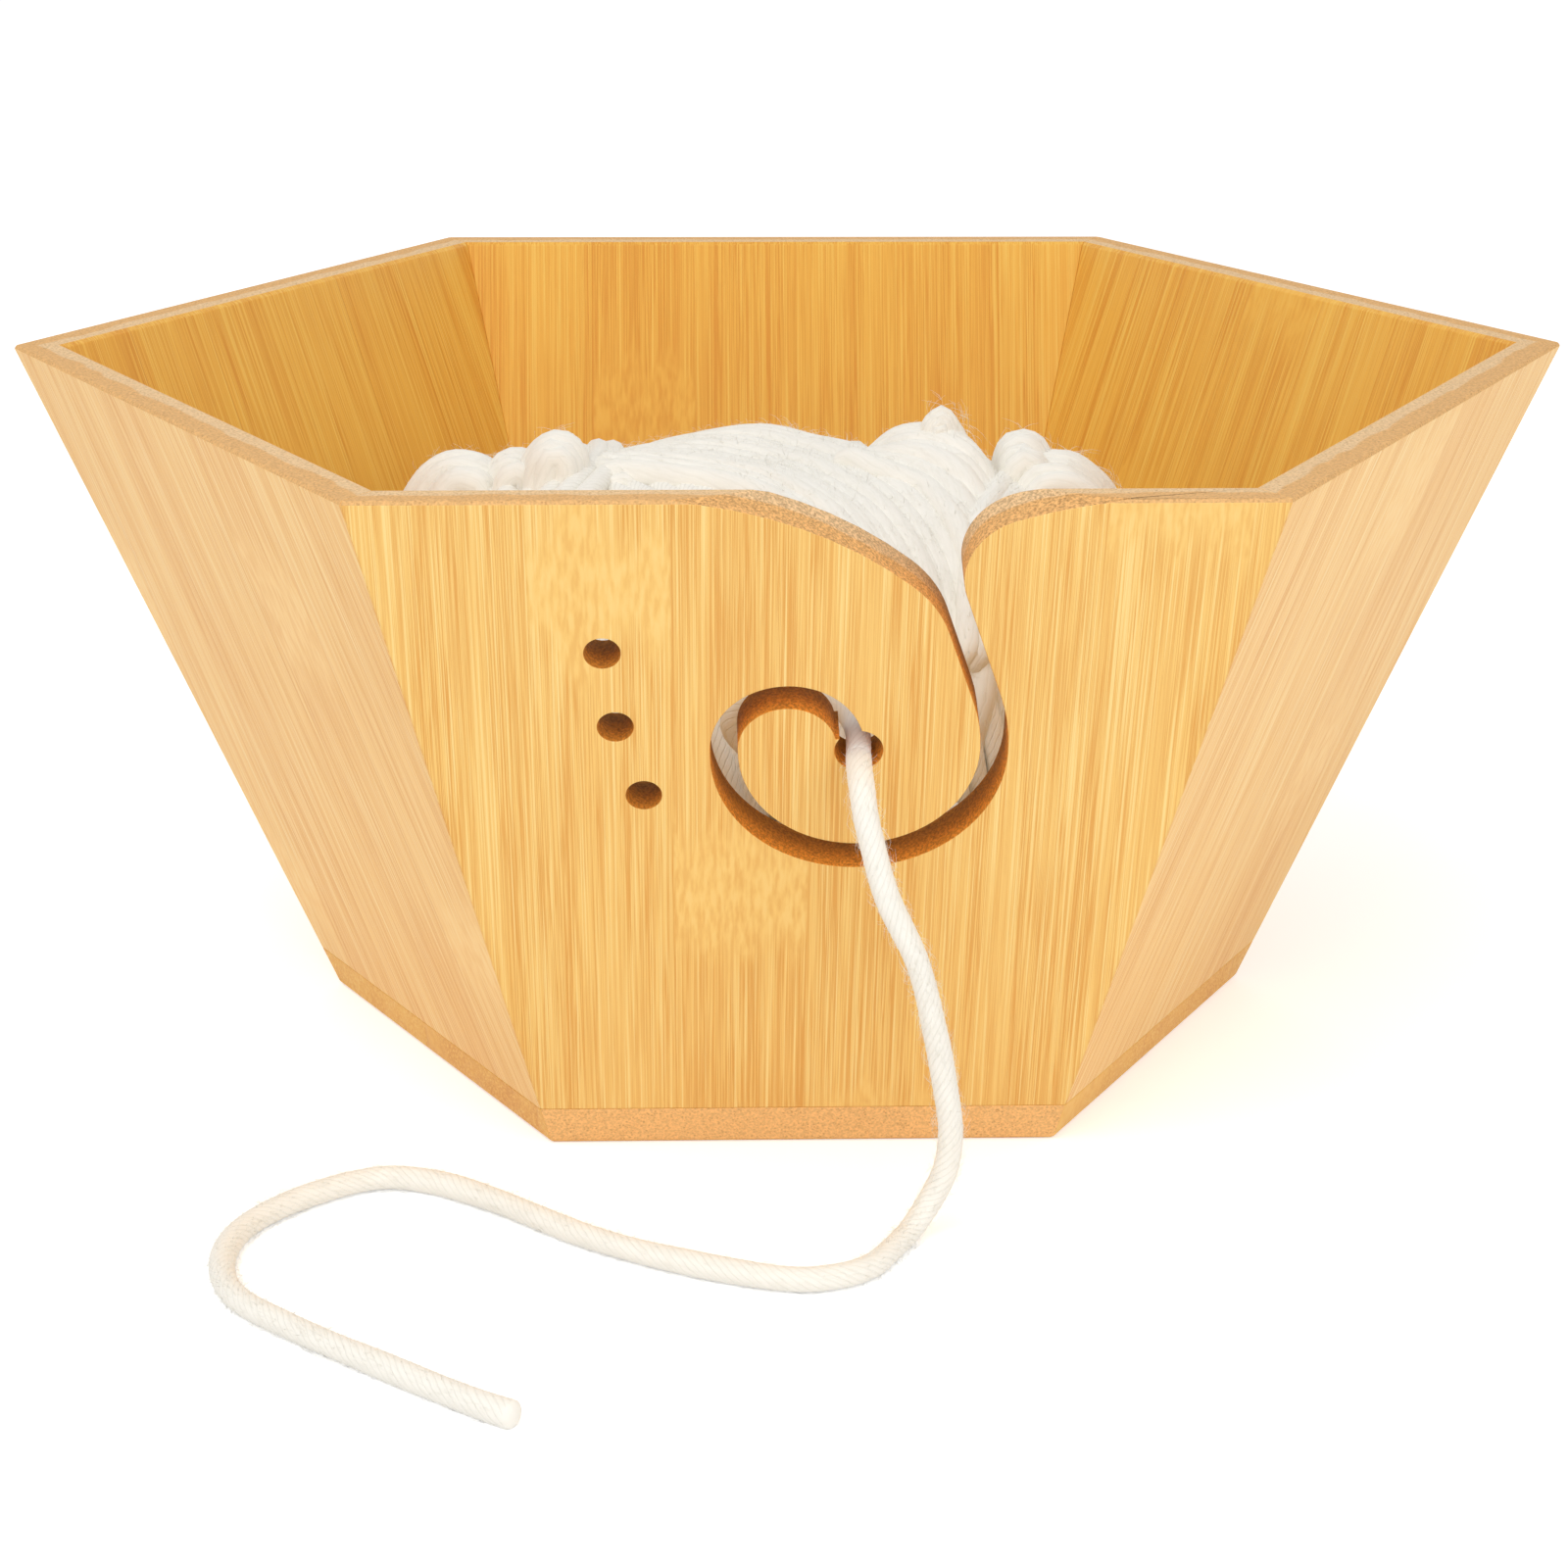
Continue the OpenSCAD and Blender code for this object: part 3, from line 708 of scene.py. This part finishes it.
def wound_path(loops, polar, turn, rise, wide, high, lift, bunch, rng):
    """A band of loops wound round an axis of the ball. The polar angle goes evenly from its
    first value to its last while the yarn goes round, so the loops lie side by side. Loops
    bunch in twos to fours whose middles stand higher, by bunch * sin(pi * share), and each
    wanders by a few hundredths of a radian and rises by lift, as smooth random sines."""
    loop_points = 140
    count = int(loops * loop_points)
    t = np.arange(count + 1) / count
    around = TURN * loops * t
    knots = np.arange(int(loops) + 2)
    angle = polar[0] + (polar[1] - polar[0]) * t
    raised = np.zeros(count + 1)
    for harmonic in (1, 2, 3):
        swing = np.interp(t * loops, knots, rng.normal(0, 1, len(knots)))
        wave = np.sin(harmonic * around + rng.uniform(0, TURN))
        angle = angle + 0.018 * swing * wave / harmonic
        swing = np.interp(t * loops, knots, rng.normal(0, 1, len(knots)))
        wave = np.sin(harmonic * around + rng.uniform(0, TURN))
        raised = raised + lift * swing * wave / harmonic
    edges = np.concatenate([[-1], np.cumsum(rng.integers(2, 5, len(knots) + 2))])
    share = np.interp(t * loops, edges, np.arange(len(edges))) % 1
    raised = raised + bunch * np.sin(math.pi * share)
    v = np.stack([np.sin(angle) * np.cos(around), np.sin(angle) * np.sin(around),
                  np.cos(angle)], axis=1)
    lean = math.pi / 2 - rise
    tip = np.array([[math.cos(lean), 0, math.sin(lean)], [0, 1, 0],
                    [-math.sin(lean), 0, math.cos(lean)]])
    spin = np.array([[math.cos(turn), -math.sin(turn), 0],
                     [math.sin(turn), math.cos(turn), 0], [0, 0, 1]])
    path = on_ball(v @ tip.T @ spin.T, wide, high)
    return path + unit(path) * raised[:, None]


# (name, loops, first and last polar angle, axis turn, axis rise, height over the ball's ground)
BANDS = [
    ("yarn_ball_under", 34, (0.30, 2.84), 1.90, 0.90, -3.2),
    ("yarn_ball_main", 44, (0.28, 2.86), 0.42, 0.18, -0.8),
    ("yarn_ball_left_band", 11, (2.08, 2.62), -0.12, 0.05, 1.2),
    ("yarn_ball_right_band", 8, (0.52, 0.98), 0.20, -0.05, 1.0),
]

# Soft hanks over the ball's top: strands laid side by side from one guide to the other. The first
# is the fan that runs down into the slot. (first guide, last guide, strands, strand's radius), all
# in millimetres.
HANKS = [
    (
     [[-34, 36, 61], [-27, 38, 70.5], [-19, 37, 76], [-10, 35.5, 79], [-2, 32, 80.5],
      [5, 24, 80.5], [11, 12, 81.5], [16, -2, 81.5], [20, -14, 81], [23, -25, 79],
      [25, -34, 76], [25.5, -41, 72.5], [26, -47, 67.5], [25.5, -50.5, 60], [24, -48, 50],
      [22, -43.5, 40]],
     [[-47, 16, 66], [-42, 13, 75], [-35, 8, 79.5], [-27, 2, 81.5], [-19, -2.5, 82],
      [-12, -6.5, 82], [-6, -12.5, 82], [-1.5, -20, 81.5], [2.5, -28, 80.5], [5.5, -36, 78.5],
      [8, -43.5, 75.5], [10, -49, 71.5], [11, -53, 67], [11.5, -55.5, 60], [10.5, -52, 48],
      [9.5, -48, 39]],
     15, 2.2),
    (
     [[36, -3, 74], [40.5, -3.5, 77.5], [37.5, -5, 78.5], [33.5, -14.5, 79], [30, -25, 78.5],
      [27.5, -35.5, 76], [26, -43, 72.5], [25.5, -49, 67], [22.5, -44.5, 65]],
     [[31.5, 9.5, 75], [36, 10.5, 79], [32.5, -0.5, 80.5], [29, -13.5, 80.5], [26, -25.5, 79.5],
      [24, -37, 76.5], [23, -44.5, 73], [22.5, -50.5, 67.5], [20, -45.5, 65.5]],
     7, 2.0),
    (
     [[-51.5, 11, 70.5], [-57, 12, 73.5], [-55.5, 12, 77.5], [-53, 12, 80], [-50, 12, 81],
      [-46, 12, 80], [-43, 12, 77], [-41.5, 12, 73.5], [-37, 10.5, 70]],
     [[-47.5, 2, 72.5], [-52.5, 2, 75.5], [-51.5, 2, 78.5], [-50, 2, 80], [-48.5, 2, 80],
      [-47, 2, 79.5], [-46, 2, 77.5], [-45.5, 2, 75], [-40.5, 2, 72]],
     8, 2.0),
    (
     [[-41, 7, 72], [-46, 8, 75.5], [-45, 8, 79], [-43.5, 8, 81.5], [-41.5, 8, 82],
      [-39.5, 8, 81], [-38.5, 8, 78], [-37.5, 8, 74.5], [-33, 7, 70.5]],
     [[-39, 0, 72.5], [-43.5, 0, 76], [-43, 0, 78.5], [-42.5, 0, 80.5], [-41, 0, 81.5],
      [-40, 0, 80.5], [-39.5, 0, 78.5], [-39, 0, 76], [-34.5, 0, 72]],
     6, 2.0),
    (
     [[-34, 3.5, 71.5], [-38.5, 4, 75.5], [-39, 4, 80], [-38, 4, 83.5], [-35.5, 4, 85.5],
      [-33.5, 4, 85], [-32.5, 4, 83], [-32.5, 4, 79], [-32, 4, 75.5], [-28, 3.5, 71]],
     [[-32, -3.5, 72.5], [-36.5, -4, 76.5], [-36.5, -4, 80], [-36, -4, 83], [-35.5, -4, 84.5],
      [-34, -4, 84.5], [-33.5, -4, 82.5], [-34, -4, 80], [-33.5, -4, 76.5], [-29.5, -3.5, 72.5]],
     6, 2.4),
    (
     [[-26, 5, 71], [-30, 6, 75.5], [-29.5, 6, 79], [-28, 6, 81.5], [-26, 6, 81.5], [-24, 6, 80],
      [-22.5, 6, 77], [-21.5, 6, 74], [-18.5, 5, 69]],
     [[-24, -1.5, 71.5], [-28, -2, 76], [-27.5, -2, 79], [-26.5, -2, 80.5], [-25, -2, 81],
      [-24.5, -2, 79.5], [-23.5, -2, 78], [-23, -2, 76], [-19.5, -1.5, 71]],
     6, 1.8),
    (
     [[10, 8.5, 74.5], [12.5, 10, 80], [14.5, 8, 83], [17, 6, 85.5], [20.5, 4, 86.5],
      [23.5, 2, 86.5], [26.5, 0, 84.5], [28.5, -2, 81], [30, -4, 77], [25.5, -3.5, 73]],
     [[6, 0, 76.5], [8, 0.5, 82.5], [12, -4.5, 82.5], [15.5, -9, 82], [19, -13.5, 81.5],
      [21, -20, 80.5], [22.5, -27, 79.5], [23.5, -33.5, 77.5], [24, -39, 75], [21, -35, 72]],
     12, 2.2),
    (
     [[17.5, 1.5, 81], [20.5, 2, 86], [20, 2, 88.5], [21, 2, 90], [22.5, 2, 91], [23.5, 2, 90],
      [24.5, 2, 88.5], [25.5, 2, 86], [22, 2, 81.5]],
     [[19, 0, 80.5], [22, 0, 85.5], [22, 0, 87.5], [22, 0, 88.5], [22.5, 0, 89], [23, 0, 88.5],
      [23, 0, 87], [24, 0, 85.5], [20.5, 0, 80.5]],
     4, 0.9),
    (
     [[27.5, 7, 74], [32, 8, 78], [32.5, 8, 82], [33.5, 8, 84.5], [35, 8, 85], [37, 8, 84],
      [38, 8, 81.5], [39, 8, 77], [34.5, 7, 73.5]],
     [[28, -3.5, 75], [32.5, -4, 79.5], [33, -4, 82.5], [33.5, -4, 84], [34.5, -4, 84.5],
      [35.5, -4, 83], [36, -4, 81], [37, -4, 78], [32, -3.5, 74]],
     7, 1.9),
    (
     [[32.5, 9, 76], [37, 10, 80], [39.5, 10, 81.5], [43, 10, 81.5], [46, 10, 79.5],
      [48.5, 10, 77], [50, 10, 74], [50.5, 10, 71], [45.5, 9, 68.5]],
     [[29.5, -9, 74.5], [34, -10, 78.5], [36, -10, 81.5], [39, -10, 82], [41.5, -10, 81],
      [43.5, -10, 79], [45, -10, 77], [45.5, -10, 74.5], [40.5, -9, 71.5]],
     9, 1.9),
]


class YARNBOWL_OT_ball(bpy.types.Operator):
    """Wind the ball of yarn, band over band, and lay soft hanks over its top"""
    bl_idname = "yarn_bowl.ball"
    bl_label = "Ball of Yarn"

    def execute(self, context):
        settings = context.scene.yarn_bowl_yarn
        r = settings.diameter / 2
        low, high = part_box("yarn_winding")
        # the bands wander, so they start a little inside the solid ball
        wide = (high[0] - low[0]) / 2 - 1.4 * MM
        tall = (high[2] - low[2]) / 2 - 4.3 * MM
        middle = np.array([-3.5 * MM, 0.0, low[2] + tall + 1.5 * MM])
        rng = np.random.default_rng(7)
        white = yarn_material("Yarn ball", settings)
        for name, loops, polar, turn, rise, over in BANDS:
            path = wound_path(loops, polar, turn, rise, wide - r + over * MM,
                              tall - r + over * MM, lift=0.4 * MM, bunch=1.9 * MM, rng=rng)
            path = even_steps(path, 2.6 * MM)
            along = unit(np.gradient(path, axis=0))
            side = unit(path)
            side = unit(side - along * np.sum(side * along, axis=1)[:, None])
            path = path + middle
            path[:, 2] = np.maximum(path[:, 2], low[2] + r)
            tube = plied_tube(path, side, r * 1.03, BAND_SIDES)
            points, faces, uv = closed_ends(*tube, BAND_SIDES, r)
            piece = yarn_piece(name, points, faces, "yarn_ball", white, uv)
        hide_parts("yarn_winding")

        # painted shade: the hanks are the ball's yarn with its colour painted 2.5% darker
        loose = yarn_material("Yarn hanks", settings, 0.975, plies=9, twist=90 * MM, groove=0.16)
        points, faces, uv, path = hanks_over_top(rng)
        yarn_piece("yarn_ball_hanks", points, faces, "yarn_ball", loose, uv)

        points, faces, uv = ball_heart(middle, wide - 4.6 * r, tall - 4.6 * r)
        heart = yarn_piece("yarn_ball_heart", points, faces, "yarn_ball", white, uv)
        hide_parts("yarn_core")

        points, faces = stray_fibres(path, 1.2 * r, settings.ball_hairs, rng, 1.7 * MM,
                                     0.035 * MM, away_from=middle)
        yarn_piece("yarn_ball_fibres", points, faces, "yarn_ball",
                   fibre_material("Yarn ball fibre", settings))
        return {"FINISHED"}


def hanks_over_top(rng):
    """Points, quads and UVs of all the hanks, and the points of their paths. A strand's guide is
    the share-weighted mean of its hank's two guides, moved a little at random. It swells and
    thins by 6% as a sine of its length."""
    step = 1.1 * MM
    tubes, paths = [], []
    for first, last, strands, radius in HANKS:
        for share in np.linspace(0, 1, strands):
            guide = np.array(first) * (1 - share) + np.array(last) * share
            line = catmull(guide + rng.normal(0, 0.2 * radius, 3), 12) * MM
            path = even_steps(line, step)
            side = carried_sides(path, np.array([0.1, 1.0, 0.2]))
            s = np.arange(len(path)) * step
            swell = 1 + 0.06 * np.sin(s / (9 * MM) + rng.uniform(0, TURN))
            thick = radius * rng.uniform(0.85, 1.15) * MM
            tube = plied_tube(path, side, thick, HANK_SIDES, swell=swell)
            tubes.append(closed_ends(*tube, HANK_SIDES, thick * 0.7))
            paths.append(path)
    return *joined(tubes), np.vstack(paths)


def ball_heart(middle, wide, tall):
    """The ball's inside, seen only through the gaps: a squashed ball on a grid of longitude and
    latitude, its size rippled by 1 + 0.006 * cos(40 * latitude) like yarn wound round."""
    rows, sides = 64, 96
    lat = np.linspace(-math.pi / 2 + 0.02, math.pi / 2 - 0.02, rows)
    lon = np.arange(sides) / sides * TURN
    d = np.stack(np.broadcast_arrays(np.cos(lat)[:, None] * np.cos(lon)[None],
                                     np.cos(lat)[:, None] * np.sin(lon)[None],
                                     np.sin(lat)[:, None]), axis=-1).reshape(-1, 3)
    ripple = 1 + 0.006 * np.cos(lat * 40)[:, None] * np.ones(sides)[None]
    points = on_ball(d, wide, tall) * ripple.reshape(-1, 1) + middle
    faces = grid_faces(rows, sides)
    uv = np.zeros((len(faces), 4, 2))
    return closed_ends(points, faces, uv, sides, 0.5 * MM)


def stray_fibres(path, radius, count, rng, longest, thick=0.03 * MM, away_from=None):
    """Points and quads of fine fibres that leave a yarn's surface and bend back along it. Each is
    a tapered tube of three sides with closed tips. With t from 0 to 1 it goes out by
    reach * sin(1.6 t), along the yarn by run * t^1.3 and aside by curl * t^2. In a ball most of
    them point away from its middle."""
    rows, sides = 4, 3
    at = rng.integers(2, len(path) - 2, count)
    along = unit(np.gradient(path, axis=0))[at]
    any_way = unit(rng.normal(0, 1, (count, 3)))
    if away_from is not None:
        any_way = any_way + 1.2 * unit(path[at] - away_from)
    out = unit(any_way - along * np.sum(any_way * along, axis=1)[:, None])
    aside = np.cross(along, out)
    reach = rng.uniform(0.25, 1.0, count) ** 1.6 * longest
    run = rng.normal(0, 1, count) * longest * 1.1
    curl = rng.normal(0, 0.35, count) * longest
    t = np.linspace(0, 1, rows)
    line = (path[at][:, None]
            + out[:, None] * (radius * 0.86 + reach[:, None] * np.sin(1.6 * t))[..., None]
            + along[:, None] * (run[:, None] * t**1.3)[..., None]
            + aside[:, None] * (curl[:, None] * t**2)[..., None])
    angle = np.arange(sides)[:, None] / sides * TURN
    ring = np.cos(angle) * out[:, None, None] + np.sin(angle) * aside[:, None, None]
    width = thick * (1 - 0.75 * t)
    points = line[:, :, None] + ring * width[:, None, None]
    last = (rows - 1) * sides
    tips = [[2, 1, 0, 0], [last, last + 1, last + 2, last + 2]]
    start = (np.arange(count) * rows * sides)[:, None, None]
    faces = np.vstack([grid_faces(rows, sides), tips]) + start
    return points.reshape(-1, 3), faces.reshape(-1, 4)


class YARNBOWL_OT_strand(bpy.types.Operator):
    """Lay the yarn's free end out of the eye and along the table"""
    bl_idname = "yarn_bowl.strand"
    bl_label = "Free End"

    def execute(self, context):
        settings = context.scene.yarn_bowl_yarn
        r = settings.diameter / 2
        white = yarn_material("Yarn strand", settings, groove=0.28)

        path = even_steps(catmull(STRAND_ROUTE, 24), 0.6 * MM)
        path[:, 2] = np.maximum(path[:, 2], r)
        length = float(np.linalg.norm(np.diff(path, axis=0), axis=1).sum())
        s = np.linspace(0, length, len(path))
        swell = 1 + 0.03 * np.sin(s / (7.1 * MM)) + 0.025 * np.sin(s / (3.3 * MM) + 1.0)
        # the last 12 mm to the cut end loosen a little
        swell = swell * (1 + 0.10 * np.clip((s - length + 12 * MM) / (12 * MM), 0, 1))
        points, faces, uv = self.yarn_along(path, settings, 0.05, swell, r * 0.5)
        points[:, 2] = np.maximum(points[:, 2], 0.0)
        strand = yarn_piece("yarn_free_end", points, faces, "bowl", white, uv)
        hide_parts("yarn_strand")

        rng = np.random.default_rng(11)
        points, faces = stray_fibres(path, r, settings.hairs, rng, 1.2 * MM)
        points[:, 2] = np.maximum(points[:, 2], 0.02 * MM)
        fuzz = yarn_piece("yarn_free_end_fibres", points, faces, "bowl",
                          fibre_material("Yarn fibre", settings))

        path = even_steps(catmull(LEAD_ROUTE, 24), 0.6 * MM)
        s = np.linspace(0, 1, len(path))
        # slack yarn is fuller where it turns round the tongue
        swell = 1 + 0.35 * np.exp(-((s - 0.5) / 0.16) ** 2)
        points, faces, uv = self.yarn_along(path, settings, 0.07, swell, r * 0.3)
        slack = yarn_piece("yarn_slack", points, faces, None, white, uv)
        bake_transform(slack)
        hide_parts("yarn_lead")
        return {"FINISHED"}

    def yarn_along(self, path, settings, depth, swell, tip):
        """A single yarn with its threads' ridges, as deep as this share of its radius."""
        side = carried_sides(path, np.array([1.0, 0.0, 0.3]))
        tube = plied_tube(path, side, settings.diameter / 2 * 0.97, STRAND_SIDES,
                          settings.plies, settings.twist, depth, swell)
        return closed_ends(*tube, STRAND_SIDES, tip)


class YARNBOWL_OT_stage(bpy.types.Operator):
    """Set the floor, the soft lights, the room light and the camera"""
    bl_idname = "yarn_bowl.stage"
    bl_label = "Stage"

    def execute(self, context):
        settings = context.scene.yarn_bowl_stage
        scene = context.scene
        make_camera(scene)
        make_floor(settings.floor_glow)
        size = settings.light_size
        soft_light("Key light", (-0.35, -0.55, 0.95), size, settings.key_power)
        soft_light("Fill light", (0.50, -0.95, 0.12), size, settings.fill_power)
        make_room(scene, settings.sky)
        scene.view_settings.view_transform = "Standard"
        return {"FINISHED"}


def make_camera(scene):
    """The photograph's camera: its place and its turn, tip and roll were solved from the bowl's
    corners, with a lens of 77.2 mm on a 36 mm sensor."""
    place = Vector((-0.0159, -0.4938, 0.1961))
    turn, tip, roll = 0.0302, 0.3195, 0.0039
    level = math.cos(tip)
    ahead = Vector((math.sin(turn) * level, math.cos(turn) * level, -math.sin(tip)))
    right = Vector((math.cos(turn), -math.sin(turn), 0))
    above = right.cross(ahead)
    rolled_right = math.cos(roll) * right + math.sin(roll) * above
    rolled_above = math.cos(roll) * above - math.sin(roll) * right
    data = bpy.data.cameras.new("Photograph camera")
    data.lens = 77.2
    data.sensor_width = 36.0
    data.clip_start = 0.01
    camera = bpy.data.objects.new("Photograph camera", data)
    camera.matrix_world = Matrix((
        (rolled_right.x, rolled_above.x, -ahead.x, place.x),
        (rolled_right.y, rolled_above.y, -ahead.y, place.y),
        (rolled_right.z, rolled_above.z, -ahead.z, place.z),
        (0, 0, 0, 1)))
    scene.collection.objects.link(camera)
    scene.camera = camera


def seen_directly(n):
    """1 for rays that show the stage itself: the camera's, and those that a gloss or glass
    sends on."""
    path = n.add("ShaderNodeLightPath")
    seen = n.maths("MAXIMUM", path.outputs["Is Camera Ray"], path.outputs["Is Glossy Ray"])
    return n.maths("MAXIMUM", seen, path.outputs["Is Transmission Ray"])


def make_floor(glow):
    """A white floor that keeps the bowl's soft shadow, with a glow that only the camera sees."""
    half = 6.0
    points = np.array([[-half, -half, 0], [half, -half, 0], [half, half, 0], [-half, half, 0]])
    mesh = bpy.data.meshes.new("floor")
    mesh.from_pydata(points.tolist(), [], [(0, 1, 2, 3)])
    floor = bpy.data.objects.new("floor", mesh)
    bpy.context.scene.collection.objects.link(floor)
    material, n, shader = new_material("White floor")
    shader.inputs["Base Color"].default_value = (0.93, 0.93, 0.93, 1.0)
    shader.inputs["Roughness"].default_value = 1.0
    shader.inputs["Specular IOR Level"].default_value = 0.0
    shader.inputs["Emission Color"].default_value = (1.0, 1.0, 1.0, 1.0)
    n.feed(shader.inputs["Emission Strength"], n.maths("MULTIPLY", seen_directly(n), glow))
    mesh.materials.append(material)


def make_room(scene, strength):
    """Even light from all round, which the camera sees as white."""
    world = bpy.data.worlds.new("Room light")
    scene.world = world
    world.use_nodes = True
    world.node_tree.nodes.clear()
    n = Nodes(world.node_tree)
    level = n.span(seen_directly(n), 0.0, 1.0, strength, 1.0)
    background = n.add("ShaderNodeBackground", {"Color": (1.0, 1.0, 1.0, 1.0), "Strength": level})
    out = n.add("ShaderNodeOutputWorld")
    n.tree.links.new(background.outputs[0], out.inputs[0])


def soft_light(name, place, size, power):
    """A square soft box that looks at the bowl."""
    data = bpy.data.lights.new(name, "AREA")
    data.size = size
    data.energy = power
    lamp = bpy.data.objects.new(name, data)
    lamp.location = place
    aim = Vector((0, 0, 0.05)) - Vector(place)
    lamp.rotation_euler = aim.to_track_quat("-Z", "Y").to_euler()
    bpy.context.scene.collection.objects.link(lamp)


class YARNBOWL_PT_panel(bpy.types.Panel):
    """Lists the bowl's pieces in the sidebar"""
    bl_idname = "YARNBOWL_PT_panel"
    bl_label = "Yarn Bowl"
    bl_space_type = "VIEW_3D"
    bl_region_type = "UI"
    bl_category = "Yarn Bowl"

    def draw(self, context):
        column = self.layout.column()
        for operator in OPERATORS:
            column.operator(operator.bl_idname)
        for settings in (context.scene.yarn_bowl_boards, context.scene.yarn_bowl_yarn,
                         context.scene.yarn_bowl_stage):
            for name in settings.__annotations__:
                column.prop(settings, name)


OPERATORS = (YARNBOWL_OT_boards, YARNBOWL_OT_ball, YARNBOWL_OT_strand, YARNBOWL_OT_stage)
CLASSES = (BoardSettings, YarnSettings, StageSettings, *OPERATORS, YARNBOWL_PT_panel)


def register():
    for cls in CLASSES:
        bpy.utils.register_class(cls)
    bpy.types.Scene.yarn_bowl_boards = bpy.props.PointerProperty(type=BoardSettings)
    bpy.types.Scene.yarn_bowl_yarn = bpy.props.PointerProperty(type=YarnSettings)
    bpy.types.Scene.yarn_bowl_stage = bpy.props.PointerProperty(type=StageSettings)


def unregister():
    del bpy.types.Scene.yarn_bowl_stage
    del bpy.types.Scene.yarn_bowl_yarn
    del bpy.types.Scene.yarn_bowl_boards
    for cls in reversed(CLASSES):
        bpy.utils.unregister_class(cls)


def main():
    register()
    bpy.ops.yarn_bowl.stage()
    bpy.ops.yarn_bowl.boards()
    bpy.ops.yarn_bowl.ball()
    bpy.ops.yarn_bowl.strand()


if __name__ == "__main__":
    main()
